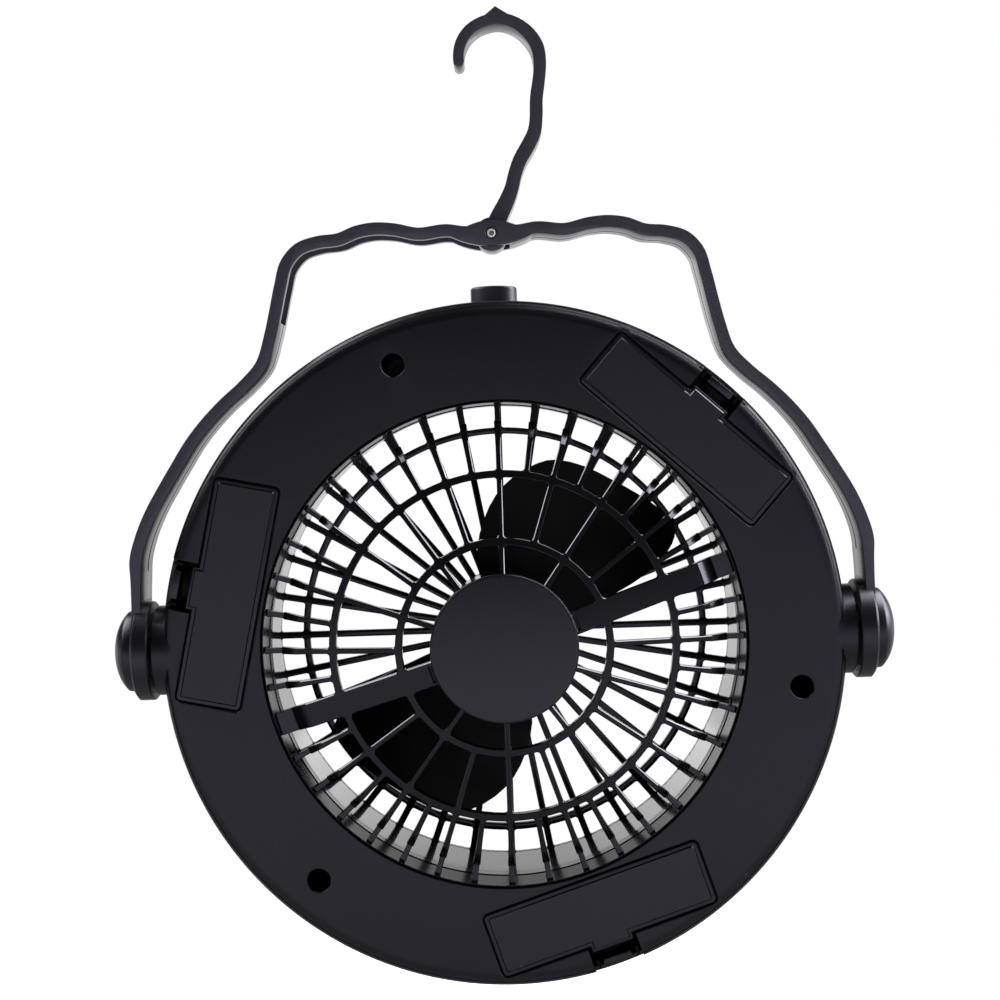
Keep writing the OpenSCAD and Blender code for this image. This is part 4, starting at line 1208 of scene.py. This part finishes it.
@dataclass
class RearGrille:
    """The domed rear grille with its hoops, knees, broad spokes and motor cup.

    Attributes:
        bars: The number of bars at the rim.
        bar_h: Depth of a bar.
        outer_hoop: Radius of the outer hoop.
        inner_hoop: Radius of the inner hoop.
        hoop_w: Width of a hoop.
        bar_w: Width of a bar.
        spoke_w: Width of a broad spoke.
        broad_at: Angle of the first broad spoke, the other lies across from it.
        cup_r: Radius of the motor cup.
        bend: Radius where the bars start to bend down.
        knee: Radius where they end in a knee.
        sunk: How far the bars' outer ends lie below the rear face.
        corner: Radius of the openings' corners.
        end_corner: The same between the bars' outer ends.
        end_bar: Radius and width of a bar's outer end, along it.
        foot_z: Height of the underside of flange and cup.
        flange_r: Radius of the flange.
    """

    bars: int = 40
    bar_h: float = 3.0
    outer_hoop: float = 47.05
    inner_hoop: float = 28.8
    hoop_w: float = 2.0
    bar_w: float = 1.45
    spoke_w: float = 6.6
    broad_at: float = 18.0
    cup_r: float = 19.5
    bend: float = 57.0
    knee: float = 61.6
    sunk: float = 2.2
    corner: float = 0.8
    end_corner: float = 0.3
    end_bar: tuple[Flat, ...] = ((59.5, 1.5), (64.8, 1.5), (66.0, 1.8), (67.4, 2.3))
    foot_z: float = 30.0
    flange_r: float = 69.05

    def build(self) -> Piece:
        """Models the grille.

        Returns:
            The finished piece.
        """
        dome = self._dome()
        BENCH.act(dome, Join.CUT, *self._cells())
        BENCH.act(dome, Join.CUT, *BENCH.copies(
            BENCH.block("spoke_notch", (20.3, -2.3, 52.6), (21.1, 2.3, 60.0)),
            (self.broad_at, self.broad_at + 180.0)))
        ends = self._ends()
        BENCH.act(ends, Join.CUT, *self._end_cells())
        for part in (dome, ends):
            BENCH.tidy(part)
            BENCH.bevelled(part, 0.2, 1, 60.0, False)
        grille = BENCH.gather([dome, ends, self._ring(), self._cup()])
        grille.name = "domed_grille"
        return settle(grille, "case", (SATIN, GLOSS, PAINTED_SHEEN, DUCT, EDGE),
                      ("rear_grille",), self._grained)

    def _grained(self, middle: Vector, normal: Vector) -> int:
        """Grains the faces of the dome and leaves its sides, knees and ends glossy, with a painted
        sheen in a paler black on the ring's upper inner wall.
        """
        radius = math.hypot(middle.x, middle.y)
        if radius > AT.duct_r - 1.5 and normal.z < 0.93 and middle.z < AT.case_t:
            # The ring's wall above its lower band takes the painted sheen.
            return 3 if middle.z < 33.5 else 2
        if 0.5 < normal.z < 0.86 and radius < self.bend - 0.5:
            return 4
        return 0 if normal.z > 0.93 and radius < self.bend + 0.5 else 1

    def _dome(self) -> Piece:
        """Makes the sheet that the bars and hoops are cut from."""
        inner, turn = self.cup_r - 0.5, 1.0
        start = (self.bend - turn * math.sin(math.radians(12)),
                 AT.cone_z(self.bend) - turn * math.cos(math.radians(12)))
        fall = around(start, turn, 78, 48, 4)
        end_r = self.knee
        end_z = fall[-1][1] - (end_r - fall[-1][0]) * math.tan(math.radians(42))
        profile = [(inner, AT.cone_z(inner)), (40.0, AT.cone_z(40.0))] + fall + [
            (end_r, end_z), (end_r + 0.15, end_z - 0.3), (end_r + 0.15, 40.3), (60.0, 40.6),
            (56.5, 43.0), (40.0, AT.cone_z(40.0) - self.bar_h),
            (inner, AT.cone_z(inner) - self.bar_h)]
        return BENCH.lathe("dome", profile, 120)

    def _cells(self) -> list[Piece]:
        """Makes the cutters of all the dome's openings."""
        step = 360.0 / self.bars
        half_hoop = self.hoop_w / 2
        out: list[Piece] = []
        zones = (
            (self.outer_hoop + half_hoop, 63.6, step / 2, step,
             ((54.5, 0.0), (59.0, 0.35), (63.6, 0.8))),
            (self.inner_hoop + half_hoop, self.outer_hoop - half_hoop, step, 2 * step, ()),
            (self.cup_r, self.inner_hoop - half_hoop, 2 * step, 4 * step, ()),
        )
        for r_in, r_out, half, every, flare in zones:
            slim = self._bar(r_in, r_out, self.bar_w, flare)
            broad = self._bar(r_in, r_out, self.spoke_w, ())
            if flare:
                broad = self._bar(r_in, r_out, self.spoke_w, tuple((r, 0.0) for r, _ in flare))
            first = 2 * step - half if half < 2 * step else 0.0
            middles = [first + every * k for k in range(round(360 / every))]
            out += self._openings(r_in, r_out, half, slim, broad, self.corner, middles)
        return out

    def _openings(self, r_in: float, r_out: float, half: float, slim: Sequence[Flat],
                  broad: Sequence[Flat], fillet: float, middles: Sequence[float]) -> list[Piece]:
        """Makes the cutters of one ring of openings.

        Args:
            r_in: Radius of their inner edge.
            r_out: Radius of their outer edge.
            half: Angle from an opening's middle to the middles of its two bars.
            slim: Radius and width of a slim bar, along the bar.
            broad: The same of a broad spoke.
            fillet: Radius of the corners.
            middles: Angles of the openings' middles.

        Returns:
            The cutters.
        """
        plain = [a for a in middles if self._slim(a + half) and self._slim(a - half)]
        ahead = [a for a in middles if not self._slim(a + half)]
        behind = [a for a in middles if not self._slim(a - half)]
        out = BENCH.copies(opening(r_in, r_out, half, slim, slim, fillet), plain)
        out += BENCH.copies(opening(r_in, r_out, half, broad, slim, fillet), ahead)
        out += BENCH.copies(opening(r_in, r_out, half, slim, broad, fillet), behind)
        return out

    def _slim(self, angle: float) -> bool:
        """Tells whether the bar at an angle is a slim one."""
        off = (angle - self.broad_at) % 180.0
        return min(off, 180.0 - off) > 1.0

    def _bar(self, r_in: float, r_out: float, width: float, flare: Sequence[Flat]) -> list[Flat]:
        """Lists a bar's radius and width, from inside out."""
        middle = [(r, width + more) for r, more in flare]
        if middle and middle[-1][0] >= r_out:
            return [(r_in, width)] + middle
        return [(r_in, width)] + middle + [(r_out, width)]

    def _ends(self) -> Piece:
        """Makes the sheet that the bars' sunk outer ends are cut from."""
        top = AT.case_t - self.sunk
        return BENCH.lathe("sunk_ends", [(60.7, top + 0.1), (66.4, top), (66.4, 37.9),
                                         (62.5, 39.2), (60.7, 40.6)], 120)

    def _end_cells(self) -> list[Piece]:
        """Makes the cutters between the bars' outer ends."""
        step = 360.0 / self.bars
        broad = [(r, self.spoke_w - 0.2) for r, _ in self.end_bar]
        middles = [step / 2 + step * k for k in range(self.bars)]
        return self._openings(self.end_bar[0][0], self.end_bar[-1][0], step / 2, self.end_bar,
                              broad, self.end_corner, middles)

    def _ring(self) -> Piece:
        """Makes the outer ring, whose flange sits between the two shells."""
        r, foot, top = AT.duct_r, self.foot_z, AT.case_t - 0.5
        return BENCH.lathe("grille_ring", [
            (r - 0.98, foot + 3.8), (r - 1.1, foot + 0.3), (r - 0.8, foot), (self.flange_r, foot),
            (self.flange_r, foot + 1.3), (r, foot + 1.3), (r, top), (r - 0.15, top + 0.15),
            (r - 0.28, top), (r - 0.76, foot + 3.8)], 180)

    def _cup(self) -> Piece:
        """Makes the motor cup with its floor."""
        r, foot, top = self.cup_r, self.foot_z, AT.cone_z(self.cup_r) + 0.1
        return BENCH.lathe("motor_cup", [
            (3.2, foot), (r - 0.5, foot), (r, foot + 0.5), (r, top - 0.3), (r - 0.3, top),
            (r - 1.5, top), (r - 1.5, foot + 1.6), (3.2, foot + 1.6)], 96)


@dataclass
class FrontGuard:
    """The flat front grille with its hoop, boss and flange.

    Attributes:
        bars: The number of bars.
        bar_w: Their width.
        bar_h: Their depth.
        hoop: Radius of the hoop.
        boss_r: Radius of the middle boss.
        low: Height of its face.
        cell_drop: How far the openings' cutters are lowered to it.
    """

    bars: int = 36
    bar_w: float = 1.9
    bar_h: float = 2.2
    hoop: float = 59.3
    boss_r: float = 16.0
    low: float = 0.4
    cell_drop: float = 40.0

    def build(self) -> Piece:
        """Models the grille.

        Returns:
            The finished piece.
        """
        r, low = AT.duct_r, self.low
        sheet = BENCH.lathe("front_guard", [
            (0, low - 0.2), (self.boss_r - 0.6, low - 0.2), (self.boss_r, low + 0.2),
            (r + 0.6, low), (r + 0.6, low + self.bar_h), (self.boss_r + 0.3, low + self.bar_h),
            (self.boss_r - 0.5, low + self.bar_h + 0.3), (0, low + self.bar_h + 0.3)], 108)
        BENCH.act(sheet, Join.CUT, *self._cells())
        BENCH.tidy(sheet)
        BENCH.bevelled(sheet, 0.25, 2, 60.0)
        flange = BENCH.lathe("guard_flange", [
            (r, 0.25), (r + 0.25, 0), (r + 3.35, 0), (r + 3.6, 0.25), (r + 3.6, 2.55),
            (r, 2.55)], 180)
        guard = BENCH.gather([sheet, flange])
        return settle(guard, "case", (GLOSS,), ("front_grille",), None, 40.0)

    def _cells(self) -> list[Piece]:
        """Makes the cutters of the openings."""
        half = 180.0 / self.bars
        middles = [half + 2 * half * k for k in range(self.bars)]
        out = []
        for r_in, r_out, fillet in ((self.boss_r + 2.0, self.hoop - 0.95, 0.5),
                                    (self.hoop + 0.95, AT.duct_r, 0.7)):
            bar = [(r_in, self.bar_w), (r_out, self.bar_w)]
            cell = opening(r_in, r_out, half, bar, bar, fillet)
            BENCH.moved(cell, Matrix.Translation((0, 0, -self.cell_drop * MM)))
            out += BENCH.copies(cell, middles)
        return out


@dataclass
class MotorCover:
    """The round cover in the middle of the rear grille.

    Attributes:
        radius: Its radius.
        face_z: Height of its face.
        under_z: Height of its underside, on the cup.
        skirt_r: Outer radius of the skirt inside the cup.
        skirt: How far the skirt reaches down.
        wall: Thickness of face and skirt.
    """

    radius: float = 20.15
    face_z: float = 55.8
    under_z: float = 54.12
    skirt_r: float = 17.9
    skirt: float = 2.5
    wall: float = 1.2

    def build(self) -> Piece:
        """Models the cover.

        Returns:
            The finished piece.
        """
        r, top = self.radius, self.face_z
        rim = around((r - 0.75, top - 0.75), 0.75, 90, 0, 5)
        cover = BENCH.lathe("motor_lid", [(0, top)] + rim + [
            (r, self.under_z + 0.15), (r - 0.15, self.under_z), (self.skirt_r, self.under_z),
            (self.skirt_r, self.under_z - self.skirt),
            (self.skirt_r - self.wall, self.under_z - self.skirt),
            (self.skirt_r - self.wall, top - self.wall), (0, top - self.wall)], 144)
        return settle(cover, "case", (PALE_MATTE, SATIN), ("motor_cover",), rear_faces)


@dataclass
class Bail:
    """The wavy bail with its end discs, its boss for the hook's pin and its slot.

    Attributes:
        band_t: Thickness of the band.
        band_w: Its width, front to back.
        edge: Rounding along its edges.
        slot_w: Width of the slot.
        slot_x: Where the slot starts and ends, across.
        slot_drop: How far below the pin the slot ends.
        disc_x: Inner face of the right disc.
        disc_t: Thickness of a disc.
        disc_r: Its radius.
        seat_r: Radius of the seat for a cap's ring.
        seat_t: What is left of a disc under that seat.
        grip: Middle line of the grip, across and above the pin.
        flank: Middle line of the flank, by distance from the case and angle.
        leg: Middle line of the leg, across and above the pivots, with its thickness.
        groove: Width and depth of the groove along the band.
        marks: Where the ejector pins left their marks, across.
    """

    band_t: float = 3.4
    band_w: float = 16.2
    edge: float = 0.14
    slot_w: float = 10.6
    slot_x: Flat = (-95.0, 5.0)
    slot_drop: float = 23.1
    disc_x: float = 98.65
    disc_t: float = 4.85
    disc_r: float = 13.9
    seat_r: float = 6.4
    seat_t: float = 2.4
    grip: tuple[Flat, ...] = (
        (0, 0.7), (7.6, 0.4), (12.5, 1.1), (20.6, 0.4), (27.4, 1.85), (33.1, 2.2), (37.6, 1.5),
        (42.6, -0.4), (48.8, -1.1), (53.9, -2.8), (57.35, -6.5), (59.3, -12.9))
    flank: tuple[Flat, ...] = (
        (16.7, 56.9), (12.4, 54.4), (7.6, 50.4), (6.8, 46.3), (7.4, 42.2), (8.0, 38.2),
        (8.4, 34.1), (8.5, 30.1), (9.0, 25.9), (9.8, 21.9), (10.3, 17.8), (10.2, 14.1))
    leg: tuple[Point, ...] = (
        (102.2, 20.7, 2.9), (102.3, 15.6, 2.6), (102.35, 9.0, 2.6), (102.35, 0.0, 2.6))
    groove: Flat = (1.2, 0.3)
    marks: tuple[float, ...] = (-39.6, -8.9, 8.9, 39.6)

    def build(self) -> Piece:
        """Models the bail.

        Returns:
            The finished piece.
        """
        bail = self._flat("carry_bail", strip(self._line()), 0.0)
        BENCH.act(bail, Join.CUT, *self._grooves())
        BENCH.act(bail, Join.ADD, self._pin_boss())
        BENCH.act(bail, Join.ADD, *self._discs())
        half = self.slot_w / 2
        slot = BENCH.block(
            "slot", (self.slot_x[0], AT.pin_h - self.slot_drop, AT.pivot_z - half),
            (self.slot_x[1], AT.pin_h + self.band_w, AT.pivot_z + half))
        BENCH.act(bail, Join.CUT, slot)
        BENCH.act(bail, Join.CUT, *self._bores())
        BENCH.act(bail, Join.CUT, *self._marks())
        return settle(bail, "bail", (LIT_BLACK, FLOW, PALE_MATTE), ("bail",), self._grained)

    def _grained(self, middle: Vector, normal: Vector) -> int:
        """Grains the flat faces in the paler black of painted light, grains the discs and leaves
        the rest glossy.
        """
        if middle.y < self.disc_r + 0.1:
            return 2
        return 0 if abs(normal.z) > 0.9 else 1

    def _line(self) -> list[tuple[float, ...]]:
        """Returns the band's middle line with its thickness, from left to right."""
        t = self.band_t
        half: list[tuple[float, ...]] = [(x, AT.pin_h + y, t) for x, y in self.grip]
        for out, angle in self.flank:
            turn, r = math.radians(angle), AT.case_r + out
            half.append((r * math.cos(turn), r * math.sin(turn), t))
        curve = smooth(half + list(self.leg), 6)
        return [(-x, y, t) for x, y, t in curve[:0:-1]] + curve

    def _grooves(self) -> list[Piece]:
        """Makes the two strips that leave a groove along both sides of the band."""
        wide, deep = self.groove
        line = [point for point in self._line() if point[1] > self.disc_r + 8.0]
        n, low = len(line), AT.pivot_z - 2.6
        far = strip([(x, y, t + 2.0) for x, y, t in line])
        near = strip([(x, y, t - 2 * deep) for x, y, t in line])
        return [BENCH.prism("groove", raised(far[part] + near[part][::-1], low), (0, 0, wide))
                for part in (slice(0, n), slice(n, 2 * n))]

    def _flat(self, name: str, outline: Sequence[Flat], more: float) -> Piece:
        """Extrudes an outline to the band's width, rounded along both faces.

        Args:
            name: The piece's name.
            outline: The outline.
            more: How much wider than the band it is, on each side.

        Returns:
            The solid.
        """
        low = AT.pivot_z - self.band_w / 2 - more
        high = AT.pivot_z + self.band_w / 2 + more
        solid = BENCH.prism(name, raised(outline, low), (0, 0, high - low))
        return BENCH.soften(
            solid, lambda a, b: abs(a.z - b.z) < 0.01, self.edge, 3)

    def _pin_boss(self) -> Piece:
        """Makes the eye-shaped boss that the hook's pin goes through."""
        top = around((0, AT.pin_h - 12.55), 16.1, 47.5, 132.5, 14)
        low = around((0, AT.pin_h + 20.45), 24.0, 242.2, 297.8, 14)
        return self._flat("pin_boss", top + low, 0.03)

    def _discs(self) -> list[Piece]:
        """Makes the two end discs."""
        r, t, out = self.disc_r, self.disc_t, []
        for side in (1, -1):
            disc = BENCH.lathe("end_disc", [
                (0, 0), (r - 0.35, 0), (r, 0.35), (r, t - 0.7), (r - 0.9, t), (0, t)], 96)
            out.append(BENCH.moved(disc, AT.sideways(side, self.disc_x)))
        return out

    def _bores(self) -> list[Piece]:
        """Makes the bores for the pivot screws and the hook's pin."""
        out, small, seat = [], AT.pivot_bore, self.seat_r
        for side in (1, -1):
            bore = BENCH.lathe("disc_bore", [(0, -1), (small, -1), (small, self.seat_t),
                                             (seat, self.seat_t), (seat, 7.0), (0, 7.0)], 40)
            out.append(BENCH.moved(bore, AT.sideways(side, self.disc_x)))
        high = AT.pivot_z + self.band_w / 2
        low = AT.pivot_z - self.band_w / 2
        pin = BENCH.lathe("pin_bore", [
            (0, low - 1), (1.6, low - 1), (1.6, low + 0.8), (1.3, low + 0.8), (1.3, high - 0.8),
            (1.6, high - 0.8), (1.6, high - 0.1), (1.8, high + 0.1), (1.8, high + 1),
            (0, high + 1)], 36)
        out.append(BENCH.moved(pin, AT.at_pin()))
        return out

    def _marks(self) -> list[Piece]:
        """Makes the shallow round marks that the ejector pins leave."""
        high = AT.pivot_z + self.band_w / 2
        out = []
        for x in self.marks:
            mark = BENCH.lathe("ejector_mark", [(0, high - 0.06), (1.2, high - 0.06),
                                                (1.25, high + 1), (0, high + 1)], 24)
            y = AT.pin_h + (0.5 if abs(x) < 20 else 0.8)
            out.append(BENCH.moved(mark, Matrix.Translation((x * MM, y * MM, 0))))
        return out


@dataclass
class Hook:
    """The hook that folds into the bail, with its eye, crown and tip.

    Attributes:
        width: Its width, front to back.
        eye_r: Radius of its eye.
        bore_r: Radius of the bore for the pin.
        edge: Rounding along its edges.
        shank: Middle line above the pin, across, up and its thickness.
        crown: The same from the crown's seat on.
    """

    width: float = 10.0
    eye_r: float = 4.7
    bore_r: float = 1.35
    edge: float = 0.16
    shank: tuple[Point, ...] = (
        (0, 0, 5.4), (2.4, 5.1, 4.8), (4.7, 9.5, 4.3), (6.1, 12.9, 3.9), (7.0, 16.3, 3.8),
        (8.6, 20.5, 3.9), (11.0, 24.5, 4.0), (12.9, 28.3, 3.8), (13.6, 32.9, 3.6))
    crown: tuple[Point, ...] = (
        (13.8, -20.1, 3.6), (14.7, -14.6, 3.5), (15.1, -10.0, 3.5), (14.5, -5.9, 3.7),
        (12.2, -2.0, 3.6), (8.5, 1.0, 3.3), (4.0, 2.4, 3.2), (-0.6, 1.6, 3.1),
        (-4.3, -0.5, 3.1), (-6.8, -3.9, 3.1), (-7.7, -7.4, 3.0), (-7.7, -9.3, 3.0))

    def build(self) -> Piece:
        """Models the hook.

        Returns:
            The finished piece.
        """
        line = smooth([(x, AT.pin_h + y, t) for x, y, t in self.shank]
                      + [(x, AT.hang_y + y, t) for x, y, t in self.crown], 3)
        hook = self._slab("fold_hook", strip(line))
        eye = around((0, AT.pin_h), self.eye_r, 0, 352.5, 47)
        BENCH.act(hook, Join.ADD, self._slab("eye", eye))
        tip = around(line[-1][:2], line[-1][2] / 2 - 0.01, 0, 345, 23)
        BENCH.act(hook, Join.ADD, self._slab("tip", tip))
        h = AT.hang_y
        BENCH.act(hook, Join.ADD, self._slab("peak", [
            (3.0, h + 5.8), (-0.9, h + 2.6), (3.0, h + 1.5), (12.0, h - 2.0), (14.0, h - 1.4)]))
        BENCH.act(hook, Join.CUT, self._bore())
        BENCH.tidy(hook)
        BENCH.bevelled(hook, self.edge, 3, 50.0)
        return settle(hook, "hook", (LIT_BLACK, FLOW), ("hook",), self._grained)

    def _grained(self, middle: Vector, normal: Vector) -> int:
        """Grains the two flat faces in the paler black of painted light and leaves the sides
        glossy.
        """
        return 0 if abs(normal.z) > 0.9 else 1

    def _slab(self, name: str, outline: Sequence[Flat]) -> Piece:
        """Extrudes an outline to the hook's width."""
        low = AT.pivot_z - self.width / 2
        return BENCH.prism(name, raised(outline, low), (0, 0, self.width))

    def _bore(self) -> Piece:
        """Makes the bore for the pin."""
        r = self.bore_r
        bore = BENCH.lathe("hook_bore", [(0, 20), (r, 20), (r, 42), (0, 42)], 32)
        return BENCH.moved(bore, AT.at_pin())


@dataclass
class PivotCaps:
    """The domed caps over the two pivot screws.

    Attributes:
        seat_x: Face of the disc that they sit on.
        radius: Radius of a cap.
        height: Its height.
    """

    seat_x: float = 103.5
    radius: float = 11.3
    height: float = 6.3

    def build(self) -> list[Piece]:
        """Models the two caps.

        Returns:
            The finished pieces.
        """
        r, h, out = self.radius, self.height, []
        dome = smooth([(r - 0.4, h * 0.43), (r * 0.85, h * 0.6), (r * 0.6, h * 0.83),
                       (r * 0.3, h * 0.96), (0, h)], 4)
        profile = [(0, 3.8), (5.4, 3.8), (5.4, -1.2), (6.3, -1.2), (6.3, 0), (r, 0),
                   (r, h * 0.33), (r - 0.15, h * 0.38)] + dome
        for side, name, node in ((1, "cap_right", "pivot_cap_right"),
                                 (-1, "cap_left", "pivot_cap_left")):
            cap = BENCH.lathe(name, profile, 96)
            BENCH.moved(cap, AT.sideways(side, self.seat_x))
            out.append(settle(cap, "bail", (PALE_MATTE,), (node,)))
        return out


@dataclass
class PushButton:
    """The round push button on top of the case.

    Attributes:
        radius: Radius of the button.
        foot_y: Where its flange starts inside the case.
        height: Its whole height.
        axis_z: Height of its axis.
    """

    radius: float = 6.65
    foot_y: float = 91.04
    height: float = 9.31
    axis_z: float = 22.0

    def build(self) -> Piece:
        """Models the button.

        Returns:
            The finished piece.
        """
        r, h = self.radius, self.height
        top = around((r - 0.8, h - 0.8), 0.8, 0, 90, 5)
        button = BENCH.lathe("top_button", [(0, 0), (r + 0.95, 0), (r + 0.95, 1.4), (r, 1.4)] + top
                             + [(r - 1.6, h), (r - 2.2, h - 0.12), (0, h - 0.12)], 96)
        socket = BENCH.block("stem_socket", (-2, -2, -1), (2, 2, 3))
        BENCH.act(button, Join.CUT, socket)
        BENCH.moved(button, AT.upwards(self.foot_y, self.axis_z))
        # The button takes the paler black: painted light for the broad highlight on its face.
        return settle(button, "button", (LIT_BLACK,), ("push_button",))


@dataclass
class HookPin:
    """The hollow-ended steel pin of the hook.

    Attributes:
        radius: Its radius.
        low: Its front end.
        high: Its rear end.
        hollow: Radius of the hollow in its rear end.
    """

    radius: float = 1.25
    low: float = 23.2
    high: float = 38.8
    hollow: float = 0.75

    def build(self) -> Piece:
        """Models the pin.

        Returns:
            The finished piece.
        """
        r, z0, z1, q = self.radius, self.low, self.high, self.hollow
        pin = BENCH.lathe("hook_rivet", [
            (0, z0), (r - 0.25, z0), (r, z0 + 0.25), (r, z1 - 0.3), (r - 0.3, z1), (q + 0.08, z1),
            (q, z1 - 0.1), (q * 0.9, z1 - 4.0), (0, z1 - 4.2)], 40)
        BENCH.moved(pin, AT.at_pin())
        return settle(pin, "bail", (ZINC_GLINT,), ("hook_pin",))


@dataclass
class Studio:
    """Camera, lamps, world and floor.

    Attributes:
        eye: The camera's place in metres.
        roll: How far the camera is rolled, in degrees.
        lens: Focal length for a 36 mm sensor.
        shift: The lens shift across and up.
        ambient: Strength of the world where it lights.
        backdrop: Strength of the backdrop's upper part in reflections.
        backdrop_low: Strength of its lower part.
        room_low: Strength of the lower part of the room in reflections.
        room_high: Strength of its upper part.
        floor_z: Height of the floor.
        floor_glow: Strength of the floor before the fan in reflections.
        floor_near: Strength of the floor below the fan in reflections.
        floor_far: Strength of the floor beyond the fan in reflections.
        backdrop_y: Directions between which the room gives way to the backdrop.
        backdrop_z: Directions between its lower and its upper part.
        room_z: Directions between the room's lower and upper part.
        floor_size: Width of the floor.
        floor_fade: Distances between which the floor runs out to white.
        floor_before: Where the floor before the fan starts and is reached.
        floor_beyond: The same of the floor beyond it.
    """

    eye: Point = (0.0028, -0.493, -0.1177)
    roll: float = -1.85
    lens: float = 62.7
    shift: Flat = (-0.0084, -0.0534)
    ambient: float = 0.38
    backdrop: float = 0.6
    backdrop_low: float = 1.25
    room_low: float = 0.42
    room_high: float = 0.0
    floor_z: float = -0.33
    floor_glow: float = 0.72
    floor_near: float = 0.25
    floor_far: float = 0.5
    backdrop_y: Flat = (0.8, 0.95)
    backdrop_z: Flat = (-0.02, 0.22)
    room_z: Flat = (-0.15, 0.06)
    floor_size: float = 24.0
    floor_fade: Flat = (0.16, 0.42)
    floor_before: Flat = (-0.1, -0.4)
    floor_beyond: Flat = (0.25, 0.9)

    def build(self) -> None:
        """Makes the whole studio."""
        self._camera()
        self._world()
        self._lamps()
        self._floor()
        bpy.context.scene.view_settings.view_transform = "Standard"

    def _camera(self) -> None:
        """Puts the camera behind the fan, level and slightly rolled."""
        data = bpy.data.cameras.new("camera")
        data.lens = self.lens
        data.sensor_width = 36.0
        data.shift_x, data.shift_y = self.shift
        data.clip_start = 0.01
        cam = bpy.data.objects.new("camera", data)
        turn = Matrix.Rotation(math.radians(90), 4, "X") @ Matrix.Rotation(
            math.radians(self.roll), 4, "Z"
        )
        cam.matrix_world = Matrix.Translation(self.eye) @ turn
        bpy.context.scene.collection.objects.link(cam)
        bpy.context.scene.camera = cam

    @staticmethod
    def _seen(nodes: Nodes, links: Links) -> Socket:
        """Returns 1 for what is seen directly, in a reflection or through glass, else 0."""
        path = nodes.new("ShaderNodeLightPath")
        seen = combined(nodes, links, "MAXIMUM", path.outputs["Is Camera Ray"],
                        path.outputs["Is Glossy Ray"])
        return combined(nodes, links, "MAXIMUM", seen, path.outputs["Is Transmission Ray"])

    def _world(self) -> None:
        """Makes a world that is white where it is seen, dimmer in reflections, soft in light."""
        world = bpy.data.worlds.new("studio")
        bpy.context.scene.world = world
        world.use_nodes = True
        nodes, links = world.node_tree.nodes, world.node_tree.links
        sky = nodes["Background"]
        sky.inputs["Color"].default_value = WHITE_LIGHT
        path = nodes.new("ShaderNodeLightPath")
        place = nodes.new("ShaderNodeTexCoord")
        split = nodes.new("ShaderNodeSeparateXYZ")
        links.new(place.outputs["Generated"], split.inputs["Vector"])
        beyond = ranged(nodes, links, split.outputs["Y"], self.backdrop_y, (0.0, 1.0), True)
        room = ranged(nodes, links, split.outputs["Z"], self.room_z,
                      (self.room_low, self.room_high))
        behind = ranged(nodes, links, split.outputs["Z"], self.backdrop_z,
                        (self.backdrop_low, self.backdrop))
        around_it = blended(nodes, links, beyond, room, behind)
        mirror = blended(nodes, links, path.outputs["Is Glossy Ray"], 1.0, around_it)
        level = blended(nodes, links, self._seen(nodes, links), self.ambient, mirror)
        links.new(level, sky.inputs["Strength"])

    def _lamps(self) -> None:
        """Hangs the soft area lamps."""
        for lamp in Light:
            place, aim, size, power = lamp.value
            data = bpy.data.lights.new(lamp.name.lower(), "AREA")
            data.size = size
            data.energy = power
            obj = bpy.data.objects.new(lamp.name.lower(), data)
            back = Vector(place) - Vector(aim)
            obj.matrix_world = (
                Matrix.Translation(place) @ back.to_track_quat("Z", "Y").to_matrix().to_4x4()
            )
            bpy.context.scene.collection.objects.link(obj)

    def _floor(self) -> None:
        """Lays the pale floor below the hanging fan, white where it runs out of sight."""
        bpy.ops.object.select_all(action="DESELECT")
        bpy.ops.mesh.primitive_plane_add(size=self.floor_size, location=(0.0, 0.0, self.floor_z))
        floor = bpy.context.active_object
        floor.name = "floor"
        pale = Finish("pale_floor", (0.93, 0.93, 0.93), 0.9, specular=0.1, drift=0.01,
                      grain=4.0, relief=0.02, sheen_patch=300.0).material()
        nodes, links = pale.node_tree.nodes, pale.node_tree.links
        place = nodes.new("ShaderNodeTexCoord")
        away = nodes.new("ShaderNodeVectorMath")
        away.operation = "LENGTH"
        links.new(place.outputs["Object"], away.inputs[0])
        fade = ranged(nodes, links, away.outputs["Value"], self.floor_fade, (0.0, 1.0), True)
        share = combined(nodes, links, "MULTIPLY", fade, self._seen(nodes, links))
        glossy = nodes.new("ShaderNodeLightPath").outputs["Is Glossy Ray"]
        mirrored = combined(nodes, links, "MAXIMUM", share, glossy)
        sides = nodes.new("ShaderNodeSeparateXYZ")
        links.new(place.outputs["Object"], sides.inputs["Vector"])
        front = ranged(nodes, links, sides.outputs["Y"], self.floor_before,
                       (self.floor_near, self.floor_glow))
        back = ranged(nodes, links, sides.outputs["Y"], self.floor_beyond,
                      (0.0, self.floor_far))
        whole = combined(nodes, links, "ADD", front, back)
        glow = nodes.new("ShaderNodeEmission")
        links.new(blended(nodes, links, glossy, 1.0, whole), glow.inputs["Strength"])
        both = nodes.new("ShaderNodeMixShader")
        links.new(mirrored, both.inputs["Fac"])
        links.new(nodes["Principled BSDF"].outputs["BSDF"], both.inputs[1])
        links.new(glow.outputs["Emission"], both.inputs[2])
        links.new(both.outputs["Shader"], nodes["Material Output"].inputs["Surface"])
        floor.data.materials.append(pale)


def plain(corner: Sequence[float]) -> list[float]:
    """Returns a vector as a plain list."""
    return [float(v) for v in corner]


def main() -> None:
    """Builds the studio and every piece, in order."""
    logging.basicConfig(level=logging.INFO, format="%(message)s")
    bpy.ops.object.select_all(action="DESELECT")
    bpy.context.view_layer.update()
    Studio().build()
    dress_nodes()
    for maker in (RearShell, BatteryDoors, RearGrille, FrontGuard, MotorCover, Bail, Hook,
                  PivotCaps, PushButton, HookPin):
        maker().build()
        log.info("%s is in place", maker.__name__)


if __name__ == "__main__":
    main()
